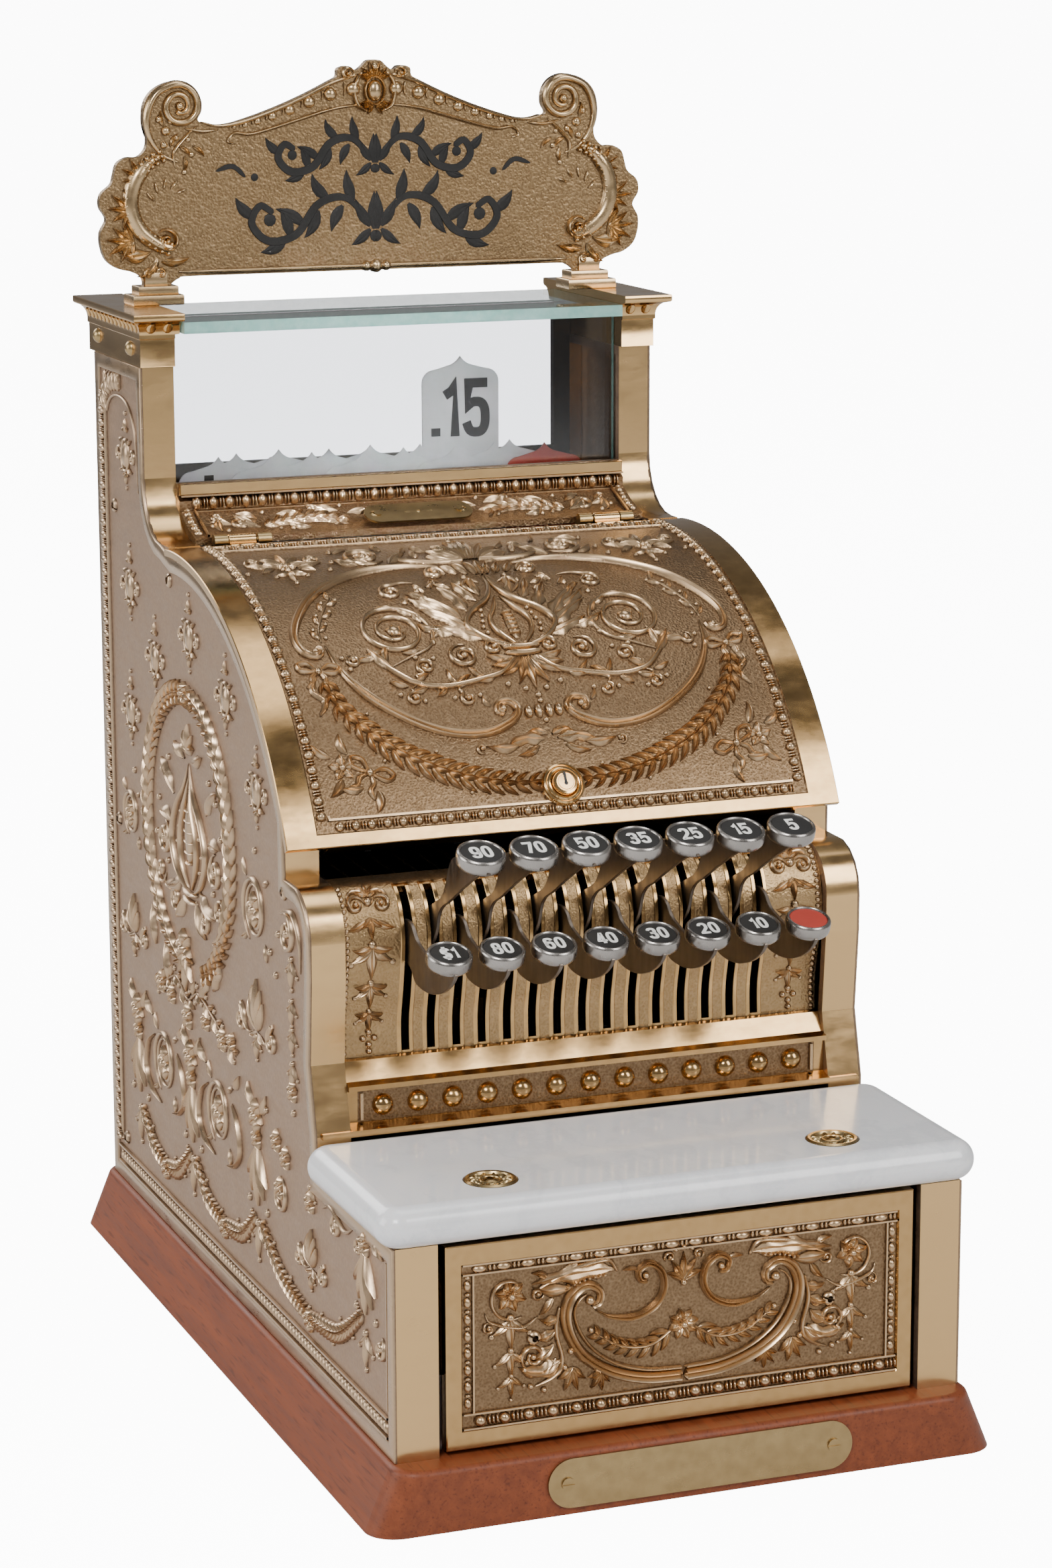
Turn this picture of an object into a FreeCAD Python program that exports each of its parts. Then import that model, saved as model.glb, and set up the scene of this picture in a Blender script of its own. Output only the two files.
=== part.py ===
import FreeCAD, Part
import math
import os
import Sketcher
from FreeCAD import Placement, Rotation, Vector

# Small counter-top cash register with a cast brass cabinet.
# Frame: origin at the centre of the wooden base's underside, +X to the operator's right,
# +Y towards the customer (rear), +Z up. Millimetres.

DIMENSIONS = {
    # wooden base
    "base_width": 263, "base_length": 421, "base_height": 25.5, "base_bevel": 10.5,
    "base_corner": 12, "base_edge": 3,
    "nameplate_length": 128, "nameplate_height": 20, "nameplate_offset": 2.6,
    "plate_thickness": 1,
    # cabinet side castings
    "body_width": 236, "body_half_depth": 198.7, "casting_wall": 4, "rim_width": 14,
    "pillar_width": 17, "shelf_height": 110.7,
    "cheek_back": 106, "cheek_top": 225, "cheek_face": 102, "cheek_round": 20,
    "cheek_end": 70, "post_face": 124, "post_top": 408.5, "post_curve": 25, "post_foot": 335,
    # lid
    "lid_centre_y": 75, "lid_centre_z": 164.3, "lid_radius": 171, "lid_thickness": 3,
    "lid_width": 240.5, "lid_top_y": 88, "lid_gap": 0.4, "lid_lip": 8,
    "hinge_y": 92, "hinge_z": 336, "hinge_radius": 2.75, "hinge_pin_radius": 1.4,
    "hinge_play": 0.05,
    "lock_angle": 31.6, "lock_ring": 9, "lock_bore": 5.55, "lock_radius": 5.5,
    # marble shelf
    "marble_width": 250, "marble_front": 204.5, "marble_back": 106, "marble_thickness": 16.3,
    "marble_corner": 10, "marble_edge": 8, "rosette_radius": 10.5, "rosette_x": 72,
    "rosette_y": 178,
    # keyboard
    "key_count": 15, "key_pitch": 10.86, "slot_width": 3.3, "slot_bottom": 156,
    "slot_top": 222.5, "key_plate_thickness": 3, "lever_thickness": 1.5,
    "shaft_y": -30, "shaft_z": 175, "shaft_radius": 4, "shaft_play": 0.05,
    "cap_tilt": 18, "lower_cap_radius": 9.15, "upper_cap_radius": 9.7, "cap_height": 6.5,
    # indicator flags
    "flag_width": 37, "flag_thickness": 0.8, "flag_tip": 364, "flag_base": 314,
    "flag_rise": 38.4, "stem_width": 3, "stem_bottom": 180.6,
    # window and top
    "window_inner": 104, "glass_thickness": 2.5, "top_glass_z": 423, "top_glass_thickness": 5,
    "front_glass_y": 130, "rear_glass_y": 188, "glass_foot": 348,
    "cornice_top": 432, "cornice_slab": 3, "cornice_outer": 124.6, "cornice_inner": 102,
    "cornice_front": 111.5, "cornice_rear": 213,
    # sign
    "sign_y": 160, "sign_plate": 4, "sign_foot": 432, "sign_top": 536,
    # mechanism
    "deck_z": 111, "deck_thickness": 3, "frame_x": 89, "frame_thickness": 3,
    "gong_y": 50, "hammer_x": 52,
    # drawer
    "drawer_half_width": 98, "drawer_front_low": 27.4, "drawer_front_high": 109.1,
    "drawer_front_plate": 4.7, "box_half_width": 96, "box_back": 130, "box_low": 28,
    "box_high": 92, "box_wall": 6,
}

document = FreeCAD.newDocument("cash_register")
sheet = document.addObject("Spreadsheet::Sheet", "dims")
parts = []


def fill_sheet():
    for row, (word, size) in enumerate(DIMENSIONS.items(), start=1):
        sheet.set(f"A{row}", word)
        sheet.set(f"B{row}", str(size))
        sheet.setAlias(f"B{row}", word)
    document.recompute()


def number(expression):
    """Value of a number or of an expression that names the sheet's cells."""
    if isinstance(expression, (int, float)):
        return float(expression)
    return float(sheet.evalExpression(expression))


def bind(item, path, expression):
    """Bind one property of a document object to an expression, or set a plain number."""
    item.setExpression(path, str(expression))


def place(item, base, axis=(0, 0, 1), angle=0):
    """Placement with a bound base point; the turn is fixed."""
    item.Placement = Placement(Vector(*map(number, base)), Rotation(Vector(*axis), angle))
    for letter, expression in zip("xyz", base):
        bind(item, f"Placement.Base.{letter}", expression)


def node(item, label):
    """Name a finished sub-part."""
    item.Label = label
    parts.append(item)
    return item


# ---------------------------------------------------------------- building blocks

def box(name, low, size):
    """Box from its low corner and its three sizes."""
    item = document.addObject("Part::Box", name)
    for path, expression in zip(("Length", "Width", "Height"), size):
        bind(item, path, expression)
    place(item, low)
    return item


def cylinder(name, base, radius, length, axis=(0, 0, 1), angle=0):
    """Cylinder along Z from its base centre, then turned."""
    item = document.addObject("Part::Cylinder", name)
    bind(item, "Radius", radius)
    bind(item, "Height", length)
    place(item, base, axis, angle)
    return item


def cylinder_x(name, base, radius, length):
    """Cylinder along +X."""
    return cylinder(name, base, radius, length, (0, 1, 0), 90)


def cylinder_front(name, base, radius, length):
    """Cylinder along -Y, towards the operator."""
    return cylinder(name, base, radius, length, (1, 0, 0), 90)


def cut(name, base, tools):
    """Base minus every tool."""
    tool = tools[0] if len(tools) == 1 else compound(name + "_tools", tools)
    item = document.addObject("Part::Cut", name)
    item.Base = base
    item.Tool = tool
    return item


def fuse(name, shapes):
    item = document.addObject("Part::MultiFuse", name)
    item.Shapes = shapes
    return item


def compound(name, shapes):
    """Separate solids held in one node."""
    item = document.addObject("Part::Compound", name)
    item.Links = shapes
    return item


def origin_plane(body, role):
    return next(item for item in body.Origin.OriginFeatures if item.Role == role)


def arc_edge(start, end, radius, turn):
    """Arc of the given radius; turn is +1 for anticlockwise and -1 for clockwise."""
    middle = (start + end) / 2
    chord = end - start
    rise = math.sqrt(max(radius**2 - chord.Length**2 / 4, 0))
    normal = Vector(-chord.y, chord.x, 0) / chord.Length
    centre = middle + normal * rise * turn
    angles = [math.atan2(point.y - centre.y, point.x - centre.x) for point in (start, end)]
    if turn < 0:
        angles.reverse()
    return Part.ArcOfCircle(Part.Circle(centre, Vector(0, 0, 1), radius), *angles)


def pin_point(sketch, geometry, end, x, y):
    """Fix one sketch vertex at two bound coordinates."""
    for kind, axis_line, expression in (("DistanceX", -2, x), ("DistanceY", -1, y)):
        size = number(expression)
        if abs(size) < 1e-9:
            sketch.addConstraint(
                Sketcher.Constraint("PointOnObject", geometry, end, axis_line))
            continue
        index = sketch.addConstraint(
            Sketcher.Constraint(kind, -1, 1, geometry, end, size))
        bind(sketch, f"Constraints[{index}]", expression)


def add_loop(sketch, points, arcs):
    """Closed loop through points; arcs maps an edge's number to (radius, turn)."""
    first = sketch.GeometryCount
    count = len(points)
    spots = [Vector(number(x), number(y), 0) for x, y in points]
    for i in range(count):
        start, end = spots[i], spots[(i + 1) % count]
        if i in arcs:
            radius, turn = arcs[i]
            edge = arc_edge(start, end, number(radius), turn)
        else:
            edge = Part.LineSegment(start, end)
        sketch.addGeometry(edge, False)

    def handle(edge, at_start):
        backwards = edge in arcs and arcs[edge][1] < 0
        return first + edge, (2 if at_start else 1) if backwards else (1 if at_start else 2)

    for i, (x, y) in enumerate(points):
        geometry, end = handle(i, True)
        previous, previous_end = handle((i - 1) % count, False)
        sketch.addConstraint(
            Sketcher.Constraint("Coincident", previous, previous_end, geometry, end))
        pin_point(sketch, geometry, end, x, y)
    for i, (radius, _) in arcs.items():
        chord = (spots[(i + 1) % count] - spots[i]).Length
        if chord > 1.999 * number(radius):
            # a half-round end keeps its centre level with its two ends
            sketch.addConstraint(Sketcher.Constraint("Vertical", first + i, 1, first + i, 3))
            continue
        index = sketch.addConstraint(
            Sketcher.Constraint("Radius", first + i, number(radius)))
        bind(sketch, f"Constraints[{index}]", radius)


def add_circle(sketch, x, y, radius):
    index = sketch.addGeometry(
        Part.Circle(Vector(number(x), number(y), 0), Vector(0, 0, 1), number(radius)), False)
    pin_point(sketch, index, 3, x, y)
    constraint = sketch.addConstraint(Sketcher.Constraint("Radius", index, number(radius)))
    bind(sketch, f"Constraints[{constraint}]", radius)


def sketch_on(body, name, role, offset):
    """Empty sketch on one of the body's own origin planes, moved along its normal."""
    sketch = body.newObject("Sketcher::SketchObject", name)
    sketch.AttachmentSupport = (origin_plane(body, role), [""])
    sketch.MapMode = "FlatFace"
    bind(sketch, "AttachmentOffset.Base.z", offset)
    return sketch


def slab(name, role, offset, thickness, points, arcs=None, circles=()):
    """Body: an outline padded along its plane's normal (XY: +Z, YZ: +X, XZ: -Y)."""
    body = document.addObject("PartDesign::Body", name)
    sketch = sketch_on(body, name + "_outline", role, offset)
    add_loop(sketch, points, arcs or {})
    for x, y, radius in circles:
        add_circle(sketch, x, y, radius)
    pad = body.newObject("PartDesign::Pad", name + "_pad")
    pad.Profile = sketch
    bind(pad, "Length", thickness)
    document.recompute()
    return body


def pocket(body, name, role, offset, depth, points, arcs=None, reverse=False):
    """Pocket cut against its plane's normal; the body's volume has to drop."""
    before = body.Shape.Volume
    sketch = sketch_on(body, name + "_outline", role, offset)
    add_loop(sketch, points, arcs or {})
    cutter = body.newObject("PartDesign::Pocket", name)
    cutter.Profile = sketch
    cutter.Reversed = reverse
    bind(cutter, "Length", depth)
    document.recompute()
    assert body.Shape.Volume < before - 1e-6, f"{name} removes nothing"
    return cutter


def fillet_edges(body, name, radius, wanted):
    """Round the edges of the body's tip that the test accepts."""
    tip = body.Tip
    names = [f"Edge{i}" for i, edge in enumerate(tip.Shape.Edges, start=1) if wanted(edge)]
    rounding = body.newObject("PartDesign::Fillet", name)
    rounding.Base = (tip, names)
    bind(rounding, "Radius", radius)
    document.recompute()
    return rounding


def rectangle(x_low, y_low, x_high, y_high):
    return [(x_low, y_low), (x_high, y_low), (x_high, y_high), (x_low, y_high)]


def stadium(length, height, x=0, y=0):
    """Outline of a plate with half-round ends, and its arcs."""
    straight = f"({length} - {height}) / 2"
    half = f"{height} / 2"
    points = [(f"{x} - {straight}", f"{y} - {half}"), (f"{x} + {straight}", f"{y} - {half}"),
              (f"{x} + {straight}", f"{y} + {half}"), (f"{x} - {straight}", f"{y} + {half}")]
    return points, {1: (half, 1), 3: (half, 1)}


def is_vertical(edge):
    return len(edge.Vertexes) == 2 and abs(
        edge.Vertexes[0].Z - edge.Vertexes[1].Z) > 0.99 * edge.Length


def slotted_head(name, x, y, z, radius=2.6, height=0.8):
    """Slotted screw head facing the operator, its back at y."""
    slot_width = 0.6
    head = cylinder_front(name + "_disc", (x, y, z), radius, height)
    groove = box(name + "_groove",
                 (f"{x} - {radius}", f"{y} - {height} - 0.1", f"{z} - {slot_width / 2}"),
                 (2 * radius, 0.5, slot_width))
    return cut(name, head, [groove])


# ---------------------------------------------------------------- base and nameplate

def build_wood_base():
    half, top = "dims.base_width / 2", "dims.base_width / 2 - dims.base_bevel"
    body = slab("wood_base_body", "XZ_Plane", "-dims.base_length / 2", "dims.base_length",
                [(f"-{half}", 0), (half, 0), (top, "dims.base_height"),
                 (f"-({top})", "dims.base_height")])
    fillet_edges(body, "base_corners", "dims.base_corner",
                 lambda edge: abs(edge.Vertexes[0].Z - edge.Vertexes[1].Z) > 1)
    top_z = number("dims.base_height")
    fillet_edges(body, "base_top_edge", "dims.base_edge",
                 lambda edge: all(abs(v.Z - top_z) < 0.01 for v in edge.Vertexes))
    node(body, "wood_base")


def build_nameplate():
    """Blank brass plate on the base's front; returns its two screw heads."""
    front = "dims.base_length / 2"
    middle = "dims.base_height / 2 + 0.2"
    points, arcs = stadium("dims.nameplate_length", "dims.nameplate_height",
                           "dims.nameplate_offset", f"({middle})")
    node(slab("nameplate_body", "XZ_Plane", front, "dims.plate_thickness", points, arcs),
         "base_nameplate")
    screw_spread = "(dims.nameplate_length / 2 - 8)"
    heads = [slotted_head(f"nameplate_screw_{side}",
                          f"(dims.nameplate_offset {sign} {screw_spread})",
                          f"(-{front} - dims.plate_thickness)", f"({middle})")
             for side, sign in (("left", "-"), ("right", "+"))]
    return heads


# ---------------------------------------------------------------- side castings

def casting_outline(inset):
    """Side outline in (y, z), drawn in by inset all round, and its arcs."""
    i = inset
    depth = f"(dims.body_half_depth - {i})"
    inner_arc = f"(dims.lid_radius - dims.lid_thickness - dims.lid_gap - {i})"
    cheek_end = f"(dims.cheek_end - {i})"
    arc_low_y = f"(-{cheek_end})"
    arc_low_z = (f"dims.lid_centre_z + sqrt({inner_arc}^2"
                 f" - ({cheek_end} + dims.lid_centre_y)^2)")
    arc_top_y = f"(dims.lid_top_y + 0.6 + {i})"
    arc_top_z = (f"dims.lid_centre_z + sqrt({inner_arc}^2"
                 f" - ({arc_top_y} - dims.lid_centre_y)^2)")
    foot_y = "(dims.post_face - dims.post_curve)"
    points = [
        (f"-{depth}", f"dims.base_height + {i}"),
        (f"-{depth}", f"dims.shelf_height - {i}"),
        (f"-(dims.cheek_back - {i})", f"dims.shelf_height - {i}"),
        (f"-(dims.cheek_back - {i})", 128),
        (f"-(dims.cheek_face - 3 - {i})", 155.5),
        (f"-(dims.cheek_face - {i})", 190),
        (f"-(dims.cheek_face - {i})", "dims.cheek_top - dims.cheek_round"),
        ("-(dims.cheek_face - dims.cheek_round)", f"dims.cheek_top - {i}"),
        (arc_low_y, f"dims.cheek_top - {i}"),
        (arc_low_y, arc_low_z),
        (arc_top_y, arc_top_z),
        (arc_top_y, f"dims.post_foot - {i}"),
        (foot_y, f"dims.post_foot - {i}"),
        (f"(dims.post_face + {i})", "dims.post_foot + dims.post_curve"),
        (f"(dims.post_face + {i})", f"dims.post_top - {i}"),
        (depth, f"dims.post_top - {i}"),
        (depth, f"dims.base_height + {i}"),
    ]
    arcs = {6: (f"dims.cheek_round - {i}", -1), 9: (inner_arc, -1),
            12: (f"dims.post_curve + {i}", 1)}
    return points, arcs


def build_side_casting(label, side):
    """Shallow pan casting: outer skin with a rim turned inwards all round."""
    half = "dims.body_width / 2"
    width = "dims.rim_width"
    start = f"({half} - {width})" if side > 0 else f"-{half}"
    points, arcs = casting_outline("0")
    body = slab(label + "_body", "YZ_Plane", start, width, points, arcs)
    inner_points, inner_arcs = casting_outline("dims.casting_wall")
    cavity_top = f"({half} - dims.casting_wall)" if side > 0 else f"-({half} - {width})"
    pocket(body, label + "_cavity", "YZ_Plane", cavity_top,
           f"{width} - dims.casting_wall", inner_points, inner_arcs)
    pillar_inner = "(dims.body_width / 2 - dims.pillar_width)"
    pillar_x = pillar_inner if side > 0 else f"-({half} - {width})"
    pillar = box(label + "_pillar", (pillar_x, "-dims.body_half_depth", "dims.base_height"),
                 ("dims.pillar_width - dims.rim_width", "dims.casting_wall",
                  "dims.shelf_height - dims.base_height"))
    node(fuse(label + "_casting", [body, pillar]), label)


def build_cabinet_shell():
    build_side_casting("left_side_casting", -1)
    build_side_casting("right_side_casting", 1)
    inner = "(dims.body_width / 2 - dims.rim_width)"
    back = box("back_sheet", (f"-{inner}", "dims.body_half_depth - dims.casting_wall",
                              "dims.base_height"),
               (f"2 * {inner}", "dims.casting_wall", "dims.glass_foot - dims.base_height"))
    node(back, "back_panel")
    # the front panel runs from the window sill down a cove to the hinge line
    sill_y = "(dims.post_face - 2)"
    points = [(sill_y, 357.5), (sill_y, 352), ("dims.post_face - 5", 350),
              ("dims.post_face - 5", 346), ("dims.post_face - 16", 340.5),
              ("dims.hinge_y + 4", 337), ("dims.hinge_y + 4", 334),
              ("dims.post_face - 14", 337), ("dims.post_face - 1", 344),
              ("dims.post_face + 2", 357.5)]
    node(slab("front_panel_body", "YZ_Plane", "-dims.window_inner", "2 * dims.window_inner",
              points), "upper_front_panel")


def build_serial_plate():
    """Blank oval plate lying on the sloping front panel, with its screws."""
    points, arcs = stadium("50", "13")
    plate = slab("serial_plate_body", "XY_Plane", 0, 1, points, arcs)
    heads = [cylinder(f"serial_screw_{i}", (x, 0, 1), 1.8, 0.6) for i, x in
             enumerate((-19, 19))]
    group = fuse("serial_plate_group", [plate] + heads)
    place(group, (0, "dims.hinge_y + 10.6", 341.6), (1, 0, 0), 26.5)
    node(group, "serial_plate")


# ---------------------------------------------------------------- marble shelf

def build_marble_shelf():
    half, corner = "dims.marble_width / 2", "dims.marble_corner"
    front, back = "-dims.marble_front", "-dims.marble_back"
    points = [(f"-({half} - {corner})", front), (f"{half} - {corner}", front),
              (half, f"{front} + {corner}"), (half, f"{back} - {corner}"),
              (f"{half} - {corner}", back), (f"-({half} - {corner})", back),
              (f"-{half}", f"{back} - {corner}"), (f"-{half}", f"{front} + {corner}")]
    arcs = {1: (corner, 1), 3: (corner, 1), 5: (corner, 1), 7: (corner, 1)}
    body = slab("marble_body", "XY_Plane", "dims.shelf_height", "dims.marble_thickness",
                points, arcs)
    fillet_edges(body, "marble_bullnose", "dims.marble_edge",
                 lambda edge: not is_vertical(edge) and (edge.Vertexes[0].Y
                              < number("-dims.marble_back") - 0.01
                              or edge.Vertexes[-1].Y < number("-dims.marble_back") - 0.01))
    top = "dims.shelf_height + dims.marble_thickness"
    recess_depth, hole_radius = 1.6, 3
    recesses, rosettes = [], []
    for name, sign in (("left", "-"), ("right", "")):
        spot = (f"{sign}dims.rosette_x", "-dims.rosette_y")
        recesses.append(cylinder(f"recess_{name}", (*spot, f"{top} - {recess_depth}"),
                                 "dims.rosette_radius + 0.3", recess_depth + 1))
        recesses.append(cylinder(f"screw_hole_{name}", (*spot, "dims.shelf_height - 1"),
                                 hole_radius, "dims.marble_thickness + 2"))
        disc = cylinder(f"rosette_disc_{name}", (*spot, f"{top} - {recess_depth}"),
                        "dims.rosette_radius", recess_depth - 0.4)
        shank = cylinder(f"rosette_shank_{name}", (*spot, "dims.shelf_height"),
                         hole_radius - 0.2, "dims.marble_thickness - 1")
        rosettes.append(fuse(f"rosette_{name}", [disc, shank]))
    node(cut("marble_slab", body, recesses), "marble_shelf")
    node(compound("rosette_pair", rosettes), "shelf_rosettes")


# ---------------------------------------------------------------- keyboard

def key_x(index):
    return f"({index} - (dims.key_count - 1) / 2) * dims.key_pitch"


def build_keyboard_plate():
    """Curved front plate with one slot per key."""
    wall = "dims.key_plate_thickness"
    front = [(-92.2, 152.5), (-91.8, 168.5), (-95.2, 184), (-97.9, 203)]
    outer = [*front, (-94, 216), (-86, 224), (-72.4, 224)]
    inner = [(f"{y} + {wall}", z) for y, z in front]
    inner += [(f"-94 + {wall}", 215), (-85, f"224 - {wall}"), (-72.4, f"224 - {wall}")]
    points = outer + inner[::-1]
    body = slab("keyboard_plate_body", "YZ_Plane", "-dims.window_inner",
                "2 * dims.window_inner", points)
    half_slot = "dims.slot_width / 2"
    first = key_x(0)
    slot_depth = 60
    cutter = pocket(body, "key_slot", "XZ_Plane", 110, slot_depth,
                    rectangle(f"{first} - {half_slot}", "dims.slot_bottom",
                              f"{first} + {half_slot}", "dims.slot_top"))
    pattern = body.newObject("PartDesign::LinearPattern", "key_slots")
    pattern.Originals = [cutter]
    pattern.Direction = (origin_plane(body, "X_Axis"), [""])
    bind(pattern, "Length", "(dims.key_count - 1) * dims.key_pitch")
    pattern.Occurrences = int(number("dims.key_count"))
    body.Tip = pattern
    node(body, "keyboard_plate")


def build_keyboard_rail():
    """Polished rail under the keyboard with a recessed panel and a foot strip."""
    foot = "dims.shelf_height + dims.marble_thickness + 0.1"
    points = [(-107.8, foot), (-107.8, 129.6), (-104, 130.2), (-101, 131), (-101, 144),
              (-104, 144.6), (-104, 146.6), (-99.5, 147.4), (-95, 154.6), (-92.5, 154.9),
              (-92.5, 152.3), (-88.5, 152.3), (-88.5, foot)]
    bar = slab("rail_bar", "YZ_Plane", "-dims.window_inner + 0.1",
               "2 * dims.window_inner - 0.2", points)
    strip_half = 116.2
    strip = box("rail_strip", (-strip_half, -107.8, foot), (2 * strip_half, 1.6, 2.4))
    dome_radius, dome_count, dome_spread = 4.5, 13, 89
    domes = []
    for i in range(dome_count):
        dome = document.addObject("Part::Sphere", f"dome_{i + 1}")
        dome.Radius = dome_radius
        place(dome, (dome_spread * (2 * i / (dome_count - 1) - 1), -100.6, 137.5))
        domes.append(dome)
    node(fuse("rail_group", [bar, strip] + domes), "keyboard_rail")


LOWER_LEVER = [(-36, 167), (-92, 192), (-108, 187), (-126, 187.5), (-143, 193.5),
               (-152.5, 201.5), (-144, 203.5), (-129, 200.5), (-110.5, 204), (-92, 210),
               (-36, 184)]
UPPER_LEVER = [(-36, 167), (-92, 197), (-105, 215), (-117, 222), (-132, 230.5),
               (-150, 239.5), (-160, 242), (-152, 243), (-133, 242), (-119, 239),
               (-108.6, 223), (-92, 214), (-36, 184)]
LEVER_TAIL = [(-24, 184), (90, 178), (171, 180), (171, 175), (90, 167), (-24, 167)]
LOWER_CAP_TOP, UPPER_CAP_TOP = (-145, 209), (-151.5, 249.5)


def build_key(index):
    """One key: flat lever on the shaft with its cap; odd places carry the upper row."""
    upper = index % 2 == 1
    x = key_x(index)
    name = f"key_{index + 1:02d}"
    points = (UPPER_LEVER if upper else LOWER_LEVER) + LEVER_TAIL
    lever = slab(name + "_lever", "YZ_Plane", f"{x} - dims.lever_thickness / 2",
                 "dims.lever_thickness", points, None,
                 [("dims.shaft_y", "dims.shaft_z", "dims.shaft_radius + dims.shaft_play")])
    top_y, top_z = UPPER_CAP_TOP if upper else LOWER_CAP_TOP
    radius = "dims.upper_cap_radius" if upper else "dims.lower_cap_radius"
    base = (x, f"{top_y} + dims.cap_height * sin(dims.cap_tilt * 1 deg)",
            f"{top_z} - dims.cap_height * cos(dims.cap_tilt * 1 deg)")
    cap = cylinder(name + "_cap", base, radius, "dims.cap_height", (1, 0, 0),
                   number("dims.cap_tilt"))
    node(compound(name + "_group", [lever, cap]), name)


def build_keyboard():
    build_keyboard_plate()
    build_keyboard_rail()
    for index in range(int(number("dims.key_count"))):
        build_key(index)
    length = "2 * (dims.frame_x + dims.frame_thickness) + 2"
    node(cylinder_x("shaft", (f"-({length}) / 2", "dims.shaft_y", "dims.shaft_z"),
                    "dims.shaft_radius", length), "key_shaft")


# ---------------------------------------------------------------- indicator flags

FLAG_PLANES = (152.5, 161, 145, 167)
LATCHED_FLAG = 11


def build_flag(index):
    """Ogee-topped tablet on a thin stem that stands on its key's tail."""
    x = key_x(index)
    rise = "dims.flag_rise" if index == LATCHED_FLAG else "0"
    half = "dims.flag_width / 2"
    stem = "dims.stem_width / 2"
    base, tip = f"dims.flag_base + {rise}", f"dims.flag_tip + {rise}"
    points = [(f"{x} - {stem}", f"dims.stem_bottom + {rise}"),
              (f"{x} + {stem}", f"dims.stem_bottom + {rise}"),
              (f"{x} + {stem}", base), (f"{x} + {half}", base),
              (f"{x} + {half}", f"{tip} - 12"), (f"{x} + {half} - 6", f"{tip} - 6"),
              (f"{x} + 5", f"{tip} - 4"), (x, tip), (f"{x} - 5", f"{tip} - 4"),
              (f"{x} - {half} + 6", f"{tip} - 6"), (f"{x} - {half}", f"{tip} - 12"),
              (f"{x} - {half}", base), (f"{x} - {stem}", base)]
    arcs = {4: (6, 1), 6: (9, -1), 7: (9, -1), 9: (6, 1)}
    plane = FLAG_PLANES[index % len(FLAG_PLANES)]
    body = slab(f"flag_{index + 1:02d}_body", "XZ_Plane", f"-{plane} - 0.4",
                "dims.flag_thickness", points, arcs)
    node(body, f"flag_{index + 1:02d}")


def build_flag_guide(label, z):
    """Comb plate across the mechanism with one slot per stem."""
    front_y, depth, thickness = 136, 40, 3
    slot_play, slot_depth = 0.5, 2
    plate = box(label + "_plate", ("-dims.frame_x", front_y, z),
                ("2 * dims.frame_x", depth, thickness))
    slots = []
    for index in range(int(number("dims.key_count"))):
        plane = FLAG_PLANES[index % len(FLAG_PLANES)]
        slots.append(box(f"{label}_slot_{index + 1}",
                         (f"{key_x(index)} - dims.stem_width / 2 - {slot_play}",
                          plane - slot_depth / 2, z - 1),
                         (f"dims.stem_width + 2 * {slot_play}", slot_depth, thickness + 2)))
    return cut(label + "_comb", plate, slots)


def build_indicator():
    for index in range(int(number("dims.key_count"))):
        build_flag(index)
    lower_z, upper_z = 232, 300
    guides = [build_flag_guide("lower_guide", lower_z),
              build_flag_guide("upper_guide", upper_z)]
    node(compound("guide_pair", guides), "flag_guides")


# ---------------------------------------------------------------- window, cornices, sign

def build_window():
    inner = "(dims.window_inner - 0.2)"
    pane_height = "dims.top_glass_z - dims.glass_foot"
    front = box("front_pane", (f"-{inner}", "dims.front_glass_y", "dims.glass_foot"),
                (f"2 * {inner}", "dims.glass_thickness", pane_height))
    rear = box("rear_pane", (f"-{inner}", "dims.rear_glass_y", "dims.glass_foot"),
               (f"2 * {inner}", "dims.glass_thickness", pane_height))
    node(compound("pane_pair", [front, rear]), "window_panes")
    end_gap, front_inset, top_depth = 0.4, 2.5, 84
    top = box("top_pane", (f"-dims.cornice_inner + {end_gap}",
                           f"dims.cornice_front + {front_inset}", "dims.top_glass_z"),
              (f"2 * (dims.cornice_inner - {end_gap})", top_depth,
               "dims.top_glass_thickness"))
    node(top, "top_glass")
    frame_depth, stile, bottom_rail, top_rail = 4, 8, 9, 4
    frame_outer = box("rear_frame_block", (f"-{inner}", f"dims.rear_glass_y - {frame_depth}",
                                           "dims.glass_foot"),
                      (f"2 * {inner}", frame_depth, pane_height))
    opening = box("rear_frame_opening",
                  (f"-{inner} + {stile}", f"dims.rear_glass_y - {frame_depth + 1}",
                   f"dims.glass_foot + {bottom_rail}"),
                  (f"2 * ({inner} - {stile})", frame_depth + 2,
                   f"{pane_height} - {bottom_rail + top_rail}"))
    node(cut("rear_frame", frame_outer, [opening]), "rear_window_frame")


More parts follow.
